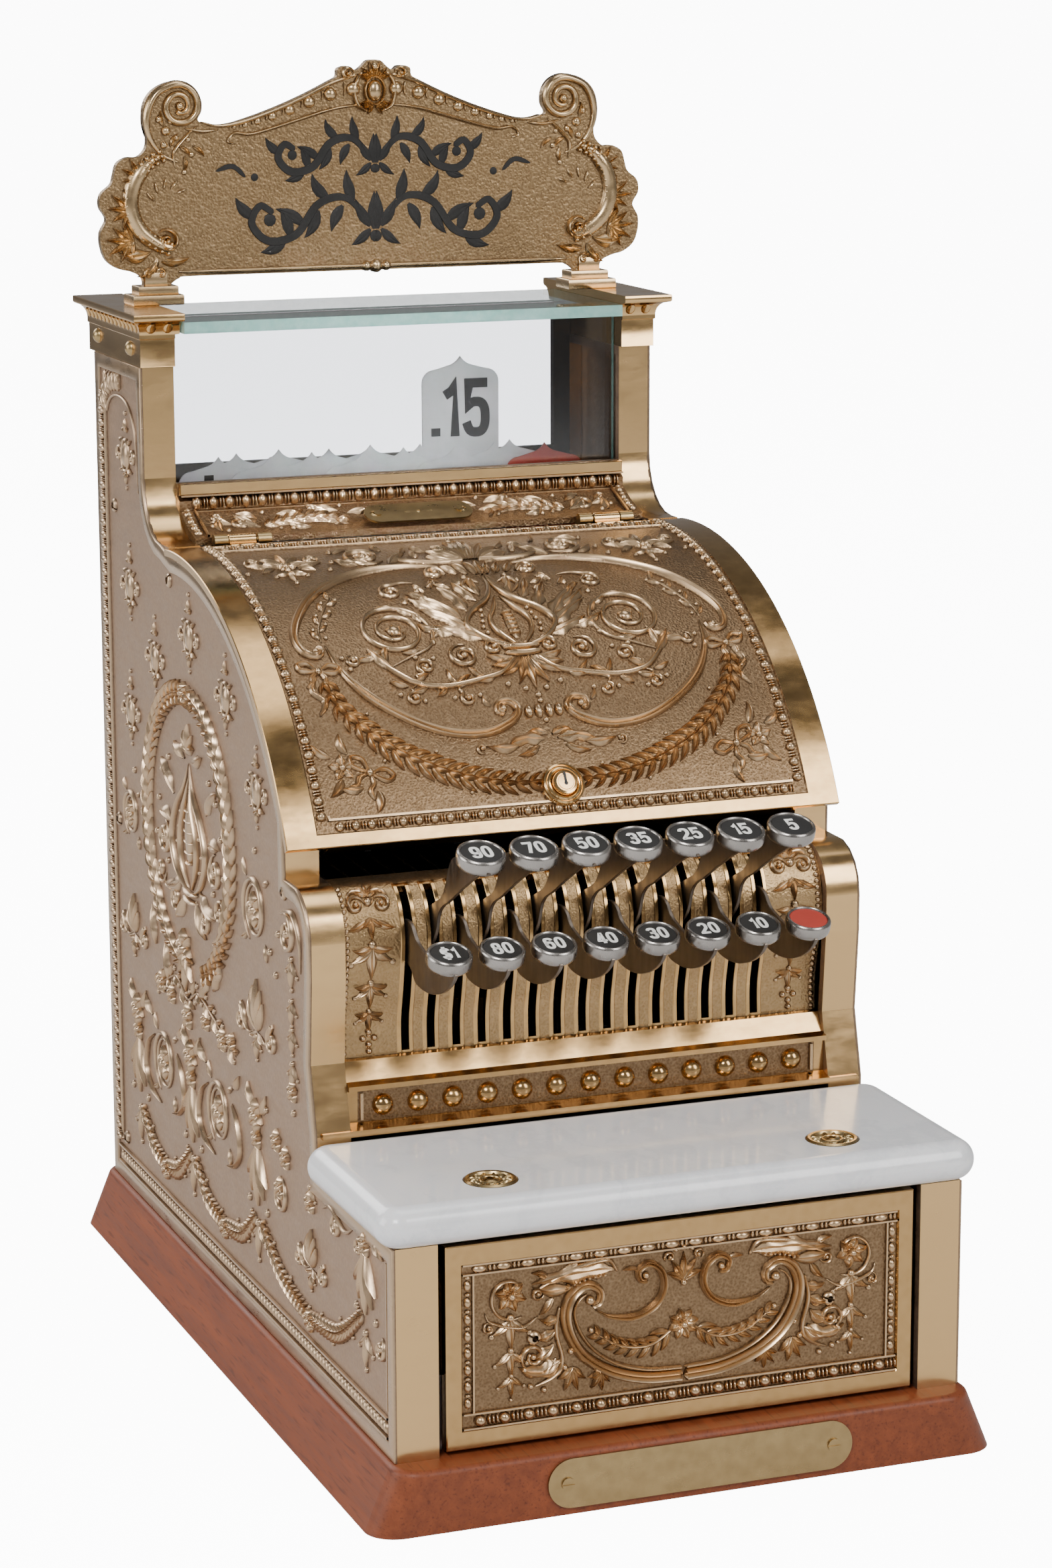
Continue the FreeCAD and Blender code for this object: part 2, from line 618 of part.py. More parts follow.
def build_cornice(label, side):
    """Capital over a post: plain block, cove and thin top slab."""
    sign = "" if side > 0 else "-"
    inner, outer = "dims.cornice_inner", "dims.cornice_outer"
    block_outer, block_front, block_rear = "(dims.body_width / 2 + 1.5)", 121, 205
    cove_z = 423

    def outline_box(name, x_outer, front, rear, low, high, x_inner=inner):
        x_low = x_inner if side > 0 else f"-{x_outer}"
        return box(f"{label}_{name}", (x_low, front, low),
                   (f"{x_outer} - {x_inner}", f"{rear} - {front}", f"{high} - ({low})"))

    # the block's lower part stands clear of the panes' ends
    block = outline_box("block", block_outer, block_front, block_rear, "dims.post_top",
                        "dims.cornice_top - dims.cornice_slab", "dims.window_inner")
    steps = []
    step_count, step_height = 3, 2
    for i in range(step_count):
        share = (i + 1) / (step_count + 1)
        low = cove_z + 0.2 + step_height * i
        steps.append(outline_box(
            f"cove_{i + 1}", f"({block_outer} + {4 * share})", f"({block_front} - {8 * share})",
            f"({block_rear} + {7 * share})", low, "dims.cornice_top - dims.cornice_slab"))
    slab_box = outline_box("slab", outer, "dims.cornice_front", "dims.cornice_rear",
                           "dims.cornice_top - dims.cornice_slab", "dims.cornice_top")
    capital = fuse(label + "_stack", [block, *steps, slab_box])
    heads = []
    screw_spots = ((137, 415.5), (190, 416))
    screw_radius, screw_sink, trim = 3.6, 1.2, 8
    for i, (y, z) in enumerate(screw_spots):
        head = document.addObject("Part::Sphere", f"{label}_screw_{i + 1}")
        head.Radius = screw_radius
        place(head, (f"{sign}({block_outer} - {screw_sink})", y, z))
        trim_x = f"{block_outer} - {trim}" if side > 0 else f"-{block_outer}"
        heads.append(cut(f"{label}_screw_head_{i + 1}", head, [box(
            f"{label}_screw_trim_{i + 1}", (trim_x, y - trim / 2, z - trim / 2),
            (trim, trim, trim))]))
    return capital, heads


def build_cornices():
    """Both capitals share a node; returns the four screw heads on their outer sides."""
    left, left_heads = build_cornice("left_cornice", -1)
    right, right_heads = build_cornice("right_cornice", 1)
    node(compound("cornice_pair", [left, right]), "cornices")
    return left_heads + right_heads


def build_top_sign():
    """Flat silhouette of the crest on two stepped feet."""
    half = [(0, 443.5), (95, 443.5), (111, 446), (120, 450), (125.5, 460), (126.5, 474),
            (121, 486), (112, 495), (105, 500), (106.5, 516), (100, 525), (91, 528),
            (83, 524), (79, 516), (80, 510), (72, 509.5), (55, 513.5), (34, 521.5),
            (19, 528), (12, 532.5), (0, "dims.sign_top")]
    mirrored = [(f"-({x})", z) for x, z in reversed(half[1:-1])]
    body = slab("sign_body", "XZ_Plane", "-dims.sign_y", "dims.sign_plate",
                half + mirrored)
    feet = []
    # each foot laps from the capital over the top pane's end
    foot_width, foot_depth, step_height = 23, 16, 4
    for name, x_low, outer_side in (("left", -113.5, 1), ("right", 90.5, 0)):
        feet.append(box(f"sign_foot_{name}", (x_low, "dims.sign_y - 9", "dims.sign_foot"),
                        (foot_width, foot_depth, step_height)))
        feet.append(box(f"sign_step_{name}", (x_low + 2 + outer_side, "dims.sign_y - 7",
                                              "dims.sign_foot + 4"), (18, 12, step_height)))
        feet.append(box(f"sign_neck_{name}", (x_low + 6.5, "dims.sign_y - 4",
                                              "dims.sign_foot + 8"), (10, 4, 6)))
    node(fuse("sign_group", [body] + feet), "top_sign")


# ---------------------------------------------------------------- lid and lock

HINGE_X = {"left": -97, "right": 71.5}
FIXED_KNUCKLE, LID_KNUCKLE, KNUCKLE_GAP = 6, 13.1, 0.2
LEAF_DROP, LEAF_THICKNESS = 2.6, 1.8


def lid_point(radius, angle):
    """Point on the lid's curve; the angle is measured up from the operator's side."""
    return (f"dims.lid_centre_y - {radius} * cos({angle} * 1 deg)",
            f"dims.lid_centre_z + {radius} * sin({angle} * 1 deg)")


def build_lid():
    outer, inner = "dims.lid_radius", "(dims.lid_radius - dims.lid_thickness)"
    low_angle, top_angle = 25.7, 94.4
    points = [lid_point(outer, low_angle), lid_point(outer, top_angle),
              lid_point(inner, top_angle), lid_point(inner, low_angle + 1),
              lid_point(f"({inner} - dims.lid_lip)", low_angle + 1),
              lid_point(f"({inner} - dims.lid_lip)", low_angle)]
    arcs = {0: (outer, -1), 2: (inner, 1)}
    half = "dims.lid_width / 2"
    shell = slab("lid_shell", "YZ_Plane", f"-{half}", "dims.lid_width", points, arcs)
    # the lip turned in along the bottom edge stops short of the side castings
    trim_length = 18
    lip_trims = [box(f"lip_trim_{name}", (x, -90, 225), (trim_length + 1, 24, 15.5))
                 for name, x in (("left", f"-{half} - 1"),
                                 ("right", f"{half} - {trim_length}"))]
    knuckles, bores = [], []
    bore_overrun = 1.8
    for name, hinge_x in HINGE_X.items():
        x = hinge_x + FIXED_KNUCKLE + KNUCKLE_GAP
        knuckles.append(cylinder_x(f"lid_barrel_{name}", (x, "dims.hinge_y", "dims.hinge_z"),
                                   "dims.hinge_radius", LID_KNUCKLE))
        knuckles.append(box(f"lid_leaf_{name}",
                            (x, "dims.lid_top_y - 2", f"dims.hinge_z - {LEAF_DROP}"),
                            (LID_KNUCKLE, 5, LEAF_THICKNESS)))
        bores.append(cylinder_x(f"lid_pin_bore_{name}",
                                (x - bore_overrun, "dims.hinge_y", "dims.hinge_z"),
                                "dims.hinge_pin_radius + dims.hinge_play",
                                LID_KNUCKLE + 2 * bore_overrun))
    cover = fuse("lid_cover", [shell] + knuckles)
    lock_turn = 90 - number("dims.lock_angle")
    hole_depth, seat_depth, seat_sink, seat_play = 12, 4, 0.65, 0.05
    lock_y, lock_z = lid_point(f"(dims.lid_radius - {hole_depth})", "dims.lock_angle")
    lock_hole = cylinder("lock_hole", (0, lock_y, lock_z), "dims.lock_bore + 1",
                         2 * hole_depth, (1, 0, 0), lock_turn)
    seat_y, seat_z = lid_point(f"(dims.lid_radius - {seat_sink})", "dims.lock_angle")
    lock_seat = cylinder("lock_seat", (0, seat_y, seat_z), f"dims.lock_ring + {seat_play}",
                         seat_depth, (1, 0, 0), lock_turn)
    node(cut("lid_cut", cover, bores + lip_trims + [lock_hole, lock_seat]), "lid_casting")


def build_hinge_pins():
    """Fixed knuckles on the front panel with the pins through them."""
    groups = []
    second = FIXED_KNUCKLE + LID_KNUCKLE + 2 * KNUCKLE_GAP
    leaf_depth = 4
    for name, x in HINGE_X.items():
        pieces = [cylinder_x(f"pin_{name}", (x, "dims.hinge_y", "dims.hinge_z"),
                             "dims.hinge_pin_radius", second + FIXED_KNUCKLE)]
        for part, start in (("outer", 0), ("inner", second)):
            pieces.append(cylinder_x(f"knuckle_{name}_{part}",
                                     (x + start, "dims.hinge_y", "dims.hinge_z"),
                                     "dims.hinge_radius", FIXED_KNUCKLE))
            pieces.append(box(f"leaf_{name}_{part}",
                              (x + start, "dims.hinge_y", f"dims.hinge_z - {LEAF_DROP}"),
                              (FIXED_KNUCKLE, leaf_depth, LEAF_THICKNESS)))
        groups.append(fuse(f"hinge_{name}", pieces))
    node(compound("hinge_pair", groups), "lid_hinges")


def build_lock():
    """Keyhole ring fixed in the lid, and the barrel with its cam that turns in it."""
    turn = 90 - number("dims.lock_angle")

    def along(name, radius, start, length):
        y, z = lid_point(f"(dims.lid_radius + {start})", "dims.lock_angle")
        return cylinder(name, (0, y, z), radius, length, (1, 0, 0), turn)

    collar_sink, collar_height, sleeve_length, sleeve_wall = 0.6, 3.6, 14, 0.9
    collar = along("lock_collar", "dims.lock_ring", -collar_sink, collar_height)
    sleeve = along("lock_sleeve", f"dims.lock_bore + {sleeve_wall}", -sleeve_length,
                   sleeve_length)
    bore = along("lock_bore_cut", "dims.lock_bore", -sleeve_length - 2, sleeve_length + 10)
    node(cut("lock_ring_cut", fuse("lock_ring_group", [collar, sleeve]), [bore]),
         "lock_escutcheon")
    barrel_foot, barrel_length, cam_radius, cam_thickness = 15.5, 20, 6.4, 2
    barrel = along("barrel_rod", "dims.lock_radius", -barrel_foot, barrel_length)
    cam_low = barrel_foot + cam_thickness
    cam_disc = along("cam_disc", cam_radius, -cam_low, cam_thickness)
    keyway_width, keyway_length = 1, 7
    keyway_y, keyway_z = lid_point("(dims.lid_radius + 3)", "dims.lock_angle")
    keyway = box("keyway", (-keyway_width / 2, keyway_y, keyway_z),
                 (keyway_width, keyway_length, 3))
    keyway.Placement.Rotation = Rotation(Vector(1, 0, 0), turn)
    arm_y, arm_z = lid_point(f"(dims.lid_radius - {cam_low})", "dims.lock_angle")
    arm_width, arm_length = 6, 13
    arm = box("cam_arm", (-arm_width / 2, arm_y, arm_z), (arm_width, arm_length, cam_thickness))
    arm.Placement.Rotation = Rotation(Vector(1, 0, 0), turn)
    node(cut("barrel_cut", fuse("barrel_group", [barrel, cam_disc, arm]), [keyway]),
         "lock_barrel")


# ---------------------------------------------------------------- mechanism inside

def build_mechanism():
    """Deck over the drawer, and the frame that holds the key shaft and the rest bar."""
    deck = box("deck_sheet", ("-(dims.body_width / 2 - dims.rim_width)", -100, "dims.deck_z"),
               ("2 * (dims.body_width / 2 - dims.rim_width)", 294, "dims.deck_thickness"))
    pivot = cylinder("hammer_pin", ("dims.hammer_x", "dims.gong_y", "dims.deck_z"), 2, 27)
    node(fuse("deck_group", [deck, pivot]), "mechanism_deck")
    frame_low = "dims.deck_z + dims.deck_thickness"
    points = [(-60, frame_low), (186, frame_low), (186, 306), (130, 306), (130, 226),
              (-20, 196), (-60, 188)]
    cheeks = [slab(f"frame_plate_{name}", "YZ_Plane", start, "dims.frame_thickness", points,
                   None, [("dims.shaft_y", "dims.shaft_z",
                           "dims.shaft_radius + dims.shaft_play")])
              for name, start in (("left", "-dims.frame_x - dims.frame_thickness"),
                                  ("right", "dims.frame_x"))]
    stop_bar = box("stop_bar", ("-dims.frame_x", 108, 154), ("2 * dims.frame_x", 8, 12.6))
    node(fuse("frame_group", [*cheeks, stop_bar]), "mechanism_frame")


def build_bell():
    """Gong on a post, and the sprung hammer beside it."""
    gong_z, gong_radius = 132, 30
    dome = cylinder("gong_outer", (0, "dims.gong_y", gong_z), gong_radius, 10)
    hollow = cylinder("gong_hollow", (0, "dims.gong_y", gong_z - 1), gong_radius - 2, 9)
    bell = cut("gong_shell", dome, [hollow])
    post = cylinder("gong_post", (0, "dims.gong_y", "dims.deck_z + dims.deck_thickness"), 4,
                    f"{gong_z + 10} - dims.deck_z - dims.deck_thickness")
    node(fuse("gong_group", [bell, post]), "bell_gong")
    pivot_z = 122

    def bar(name, x, y, z, size):
        return box(name, (f"dims.hammer_x + {x}", f"dims.gong_y + {y}", pivot_z + z), size)

    hub = cylinder("hammer_hub", ("dims.hammer_x", "dims.gong_y", pivot_z), 4.5, 8)
    arm = bar("hammer_arm", -1.5, -44, 1, (3, 42, 5))
    toe = bar("hammer_toe", -17.5, -44, 1, (16.2, 4, 5))
    link = bar("hammer_link", -21, -44, 3.5, (5, 9, 2.5))
    ball = cylinder("hammer_ball", ("dims.hammer_x - 20", "dims.gong_y - 36",
                                    pivot_z + 3.5), 4, 14)
    hole = cylinder("hammer_hole", ("dims.hammer_x", "dims.gong_y", pivot_z - 1), 2.05, 10)
    node(cut("hammer_cut", fuse("hammer_group", [hub, arm, toe, ball, link]), [hole]),
         "bell_hammer")


# ---------------------------------------------------------------- drawer

def build_drawer():
    half, wall = "dims.box_half_width", "dims.box_wall"
    front_y = "-(dims.body_half_depth - dims.drawer_front_plate)"
    low, high = "dims.box_low", "dims.box_high"
    outer = box("drawer_block", (f"-{half}", front_y, low),
                (f"2 * {half}", f"dims.box_back - ({front_y})", f"{high} - {low}"))
    partition = 5
    divide_y = -60
    floor = f"{low} + {wall}"
    depth = f"{high} - ({floor}) + 1"
    wells = []

    def row_of_wells(name, count, y_low, y_high):
        span = f"(2 * {half} - 2 * {wall} - {(count - 1) * partition}) / {count}"
        for i in range(count):
            wells.append(box(f"{name}_{i + 1}", (f"-{half} + {wall} + {i} * ({span} + {partition})",
                                                 y_low, floor),
                             (span, f"{y_high} - ({y_low})", depth)))

    row_of_wells("coin_well", 5, f"{front_y} + 10", divide_y)
    row_of_wells("note_well", 3, divide_y + partition, "dims.box_back - dims.box_wall")
    node(cut("drawer_tray", outer, wells), "drawer_box")
    front = box("drawer_front_plate", ("-dims.drawer_half_width", "-dims.body_half_depth",
                                       "dims.drawer_front_low"),
                ("2 * dims.drawer_half_width", "dims.drawer_front_plate",
                 "dims.drawer_front_high - dims.drawer_front_low"))
    node(front, "drawer_front")
    runner_height = 30
    runners = [box(f"runner_{name}", (x, -190, "dims.base_height"), (4, 370, runner_height))
               for name, x in (("left", f"-{half} - 4.8"), ("right", f"{half} + 0.8"))]
    node(compound("runner_pair", runners), "drawer_runners")


# ---------------------------------------------------------------- build, check, write

def check_document():
    for item in document.Objects:
        bad = [word for word in item.State if word in ("Invalid", "Error")]
        assert not bad, f"{item.Name}: {bad}"
    for item in parts:
        shape = item.Shape
        assert not shape.isNull() and shape.isValid(), f"{item.Label}: bad shape"
        assert shape.Solids, f"{item.Label}: no solid"


def write_parts():
    os.makedirs("parts", exist_ok=True)
    for item in parts:
        item.Shape.exportStep(f"parts/{item.Label}.step")


def main():
    fill_sheet()
    build_wood_base()
    screws = build_nameplate()
    build_cabinet_shell()
    build_serial_plate()
    build_marble_shelf()
    build_keyboard()
    build_indicator()
    build_window()
    screws += build_cornices()
    node(compound("screw_group", screws), "cabinet_screws")
    build_top_sign()
    build_lid()
    build_hinge_pins()
    build_lock()
    build_mechanism()
    build_bell()
    build_drawer()
    document.recompute()
    check_document()
    write_parts()
    for item in parts:
        bounds = item.Shape.BoundBox
        print(f"{item.Label}: {len(item.Shape.Solids)} solid(s), "
              f"x {bounds.XMin:.1f}..{bounds.XMax:.1f}, y {bounds.YMin:.1f}..{bounds.YMax:.1f}, "
              f"z {bounds.ZMin:.1f}..{bounds.ZMax:.1f}")


main()
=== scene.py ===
import math

import bmesh
import bpy
import numpy as np
from mathutils import Matrix, Vector
from mathutils.geometry import tessellate_polygon


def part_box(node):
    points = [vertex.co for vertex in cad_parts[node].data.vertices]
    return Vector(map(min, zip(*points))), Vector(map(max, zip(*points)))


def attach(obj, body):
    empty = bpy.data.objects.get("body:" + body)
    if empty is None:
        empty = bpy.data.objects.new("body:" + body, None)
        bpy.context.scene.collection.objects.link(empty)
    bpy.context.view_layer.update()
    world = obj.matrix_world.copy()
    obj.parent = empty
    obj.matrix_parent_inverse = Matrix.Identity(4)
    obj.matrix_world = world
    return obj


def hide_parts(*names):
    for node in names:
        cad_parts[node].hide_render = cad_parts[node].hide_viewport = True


# Antique brass candy-store cash register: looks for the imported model.
# Sizes in the helpers are millimetres; Blender objects are metres.
MM = 0.001
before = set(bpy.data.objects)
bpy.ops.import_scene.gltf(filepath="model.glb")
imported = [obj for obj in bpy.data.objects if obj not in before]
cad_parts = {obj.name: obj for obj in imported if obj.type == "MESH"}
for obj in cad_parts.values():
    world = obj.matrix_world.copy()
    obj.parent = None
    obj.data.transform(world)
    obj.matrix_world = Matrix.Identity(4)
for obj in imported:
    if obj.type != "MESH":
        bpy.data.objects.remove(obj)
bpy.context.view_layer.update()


def low(node):
    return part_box(node)[0] / MM


def high(node):
    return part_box(node)[1] / MM


# ------------------------------------------------------------------ materials

def add(tree, kind, settings=None, **inputs):
    """New node; an input named i0, i1... is taken by number, others by name."""
    made = tree.nodes.new("ShaderNode" + kind)
    for key, value in (settings or {}).items():
        setattr(made, key, value)
    for key, value in inputs.items():
        by_number = key[0] == "i" and key[1:].isdigit()
        socket = made.inputs[int(key[1:])] if by_number else made.inputs[key.replace("_", " ")]
        if isinstance(value, bpy.types.NodeSocket):
            tree.links.new(value, socket)
        else:
            socket.default_value = value
    return made


def math_node(tree, operation, a, b=0.0):
    return add(tree, "Math", {"operation": operation}, i0=a, i1=b).outputs[0]


def times(tree, a, b):
    return math_node(tree, "MULTIPLY", a, b)


def plus(tree, a, b):
    return math_node(tree, "ADD", a, b)


def opposite(tree, share):
    return math_node(tree, "SUBTRACT", 1.0, share)


def above(tree, value, limit):
    return math_node(tree, "GREATER_THAN", value, limit)


def split(tree, vector):
    """The three coordinates of a vector socket."""
    return add(tree, "SeparateXYZ", None, Vector=vector).outputs


def blend(tree, share, a, b):
    """Colour a where share is 0 and b where it is 1."""
    made = add(tree, "Mix", {"data_type": "RGBA"}, i0=share)
    for index, value in ((6, a), (7, b)):
        if isinstance(value, bpy.types.NodeSocket):
            tree.links.new(value, made.inputs[index])
        else:
            made.inputs[index].default_value = (*value, 1)
    return made.outputs[2]


def span(tree, value, from_low, from_high, to_low=0.0, to_high=1.0):
    return add(tree, "MapRange", {"clamp": True}, i0=value, i1=from_low, i2=from_high,
               i3=to_low, i4=to_high).outputs[0]


def noise(tree, where, scale, detail=3, roughness=0.55, stretch=None):
    if stretch:
        where = add(tree, "Mapping", None, Vector=where, Scale=stretch).outputs[0]
    return add(tree, "TexNoise", None, Vector=where, Scale=scale, Detail=detail,
               Roughness=roughness).outputs[0]


def start(name, **constants):
    """Principled material; returns it with its tree, its shader and object coordinates."""
    material = bpy.data.materials.new(name)
    material.use_nodes = True
    tree = material.node_tree
    shader = tree.nodes["Principled BSDF"]
    for key, value in constants.items():
        shader.inputs[key.replace("_", " ")].default_value = value
    where = add(tree, "TexCoord").outputs["Object"]
    return material, tree, shader, where


def finish(tree, shader, colour, roughness, height, strength, distance):
    """Wires a material's colour, roughness and bump to its shader."""
    tree.links.new(colour, shader.inputs["Base Color"])
    tree.links.new(roughness, shader.inputs["Roughness"])
    bump = add(tree, "Bump", None, Height=height, Strength=strength, Distance=distance)
    tree.links.new(bump.outputs[0], shader.inputs["Normal"])


def scaled(colour, factor):
    return tuple(factor * c for c in colour)


# The last colour argument is the painted shade laid at the foot of the relief.
def brass(name, bright, dark, ground_rough, relief_rough, pebble, pebble_size=1.2,
          smudge=0.35, flat_side=None, crevice_shade_colour=(0.055, 0.036, 0.022)):
    """Brass: 'relief' on the mesh says where it stands proud and is rubbed bright.
    pebble is the depth of the leathery ground; flat_side paints the faces across X."""
    material, tree, shader, where = start(name, Metallic=1.0)
    relief = add(tree, "Attribute", {"attribute_name": "relief"}).outputs["Fac"]
    patches = noise(tree, where, 22, 4)
    fine = noise(tree, where, 1000 / pebble_size, 3, 0.6)
    cells = add(tree, "TexVoronoi", {"feature": "SMOOTH_F1"}, Vector=where,
                Scale=820 / pebble_size).outputs[0]
    grain = plus(tree, times(tree, fine, 0.7), times(tree, cells, 0.75))
    proud = span(tree, relief, 0.15, 0.8)
    ground_colour = blend(tree, span(tree, grain, 0.45, 0.95), dark,
                          tuple(0.68 * a + 0.32 * b for a, b in zip(dark, bright)))
    colour = blend(tree, proud, ground_colour, bright)
    colour = blend(tree, span(tree, patches, 0.5, 0.85, 0, smudge), colour, dark)
    # Painted shade: near the foot of the relief, just above the ground, the colour is pulled
    # towards the dark crevice colour.
    painted_crevice_shade = times(tree, span(tree, relief, 0.03, 0.42, 1, 0),
                    span(tree, relief, 0.0005, 0.02, 0, 1))
    colour = blend(tree, times(tree, painted_crevice_shade, 0.75), colour, crevice_shade_colour)
    rough = span(tree, proud, 0, 1, ground_rough, relief_rough)
    wipe = noise(tree, where, 60, 5, 0.65, (1, 1, 3))
    rough = plus(tree, rough, span(tree, wipe, 0.35, 0.75, -0.04, 0.10))
    if flat_side:
        facing = add(tree, "NewGeometry").outputs["True Normal"]
        flat = span(tree, math_node(tree, "ABSOLUTE", split(tree, facing)[0]), 0.75, 0.85)
        colour = blend(tree, opposite(tree, flat), colour, flat_side)
        rough = math_node(tree, "SUBTRACT", rough, times(
            tree, opposite(tree, flat), ground_rough - 0.2))
        grain = times(tree, grain, flat)
    scratches = noise(tree, where, 420, 2, 0.5, (1, 1, 0.08))
    depth = plus(tree, times(tree, opposite(tree, proud), grain), times(tree, scratches, 0.04))
    finish(tree, shader, colour, rough, depth, min(1.0, 0.12 + pebble),
           0.0006 * max(pebble, 0.08))
    return material


GOLD = (0.64, 0.415, 0.19)
polished = brass("polished_brass_look", (0.62, 0.40, 0.18), (0.46, 0.285, 0.12), 0.19, 0.16,
                 0.05, 3, 0.35)
cast = brass("cast_brass_look", (0.555, 0.385, 0.225), (0.175, 0.107, 0.055), 0.38, 0.29, 0.6,
             0.8, 0.55)
sign_cast = brass("sign_brass_look", (0.55, 0.385, 0.21), (0.20, 0.127, 0.062), 0.34, 0.24,
                  0.7, 0.9, 0.9)
worn_cast = brass("worn_cast_brass_look", (0.58, 0.40, 0.22), (0.34, 0.22, 0.105), 0.33, 0.2,
                  0.55, 0.8)
side_ground = brass("side_casting_look", (0.52, 0.365, 0.23), (0.35, 0.24, 0.168), 0.52, 0.3,
                    0.3, 1.2, 0.25, flat_side=GOLD)
# The last colour below is the painted shade at the foot of the relief.
side_relief = brass("side_relief_look", (0.50, 0.355, 0.225), (0.22, 0.15, 0.10), 0.44, 0.30,
                    0.3, 1.2, 0.2, crevice_shade_colour=(0.11, 0.073, 0.05))
aged = brass("aged_brass_look", (0.56, 0.405, 0.20), (0.34, 0.24, 0.115), 0.3, 0.26, 0.1, 4,
             0.5)
bronze = brass("dark_bronze_look", (0.10, 0.07, 0.04), (0.04, 0.03, 0.02), 0.4, 0.35, 0.2, 2)
bell = brass("bell_look", (0.60, 0.36, 0.13), (0.4, 0.24, 0.09), 0.2, 0.2, 0.04, 5)


def steel(name, colour, rough, streak):
    material, tree, shader, where = start(name, Metallic=1.0)
    brushed = noise(tree, where, 300, 3, 0.6, streak)
    stains = noise(tree, where, 35, 4)
    tone = blend(tree, span(tree, stains, 0.45, 0.8), colour, scaled(colour, 0.72))
    sheen = span(tree, brushed, 0.3, 0.7, rough - 0.06, rough + 0.1)
    finish(tree, shader, tone, sheen, brushed, 0.12, 0.0002)
    return material


nickel = steel("key_nickel_look", (0.36, 0.335, 0.31), 0.27, (1, 1, 0.1))
lever_metal = steel("key_lever_look", (0.20, 0.165, 0.135), 0.36, (1, 1, 0.15))
screw_metal = steel("mechanism_steel_look", (0.46, 0.45, 0.44), 0.35, (0.1, 1, 1))
iron = steel("mechanism_iron_look", (0.12, 0.115, 0.11), 0.5, (1, 1, 1))


def enamel(name, colour, rough, speck=0.06, coat=0.25):
    material, tree, shader, where = start(name, Coat_Weight=coat, Coat_Roughness=0.12)
    mottle = noise(tree, where, 90, 4)
    tone = blend(tree, span(tree, mottle, 0.4, 0.8), colour, scaled(colour, 1 - speck * 3))
    sheen = span(tree, mottle, 0.3, 0.8, rough, rough + 0.12)
    finish(tree, shader, tone, sheen, noise(tree, where, 700, 2), 0.06, 0.0002)
    return material


black = enamel("black_enamel_look", (0.012, 0.011, 0.010), 0.45, 0.1, 0.03)
inlay = enamel("black_inlay_look", (0.010, 0.009, 0.008), 0.7, 0.1, 0.0)
white = enamel("numeral_white_look", (0.86, 0.85, 0.80), 0.4)
flag_white = enamel("flag_enamel_look", (0.84, 0.84, 0.85), 0.45)
flag_red = enamel("flag_red_look", (0.45, 0.05, 0.03), 0.42)
key_red = enamel("key_red_look", (0.40, 0.035, 0.02), 0.4, 0.06, 0.05)


def wood(name, pale, deep, rough, along):
    """Straight-grained timber; along stretches the figure in the length direction."""
    material, tree, shader, where = start(name, Coat_Weight=0.06, Coat_Roughness=0.3,
                                          Specular_IOR_Level=0.3)
    fibres = noise(tree, where, 190, 6, 0.7, along)
    figure = noise(tree, where, 26, 3, 0.5, along)
    pores = noise(tree, where, 900, 2, 0.5, along)
    tone = blend(tree, span(tree, fibres, 0.3, 0.72), deep, pale)
    tone = blend(tree, span(tree, figure, 0.35, 0.75, 0, 0.55), tone, scaled(pale, 0.62))
    tone = blend(tree, span(tree, pores, 0.58, 0.7, 0, 0.5), tone, scaled(deep, 0.4))
    sheen = span(tree, fibres, 0.3, 0.8, rough, rough + 0.18)
    finish(tree, shader, tone, sheen, plus(tree, fibres, pores), 0.25, 0.0003)
    return material


base_wood = wood("base_wood_look", (0.25, 0.062, 0.020), (0.125, 0.028, 0.009), 0.42,
                 (1, 0.07, 1))
drawer_wood = wood("drawer_wood_look", (0.38, 0.25, 0.13), (0.24, 0.14, 0.07), 0.5,
                   (1, 0.09, 1))


def marble_material():
    material, tree, shader, where = start("marble_look", Coat_Weight=0.35, Coat_Roughness=0.08,
                                          Subsurface_Weight=0.08, Subsurface_Scale=0.004)
    warp = noise(tree, where, 14, 5, 0.6)
    swirl = add(tree, "CombineXYZ", None, X=warp, Y=warp, Z=warp).outputs[0]
    swirl = add(tree, "VectorMath", {"operation": "SCALE"}, i0=swirl, Scale=0.09).outputs[0]
    bent = add(tree, "VectorMath", {"operation": "ADD"}, i0=where, i1=swirl).outputs[0]
    veins = noise(tree, bent, 26, 6, 0.62, (1, 0.45, 1))
    thin = math_node(tree, "ABSOLUTE", math_node(tree, "SUBTRACT", veins, 0.5))
    crystals = noise(tree, where, 700, 3, 0.7)
    tone = blend(tree, span(tree, thin, 0.0, 0.055, 1, 0), (0.76, 0.755, 0.76),
                 (0.67, 0.672, 0.685))
    tone = blend(tree, span(tree, warp, 0.4, 0.7, 0, 0.45), tone, (0.71, 0.70, 0.71))
    tone = blend(tree, span(tree, crystals, 0.5, 0.75, 0, 0.25), tone, (0.60, 0.605, 0.62))
    sheen = span(tree, crystals, 0.3, 0.8, 0.16, 0.3)
    finish(tree, shader, tone, sheen, crystals, 0.05, 0.0002)
    return material


marble = marble_material()


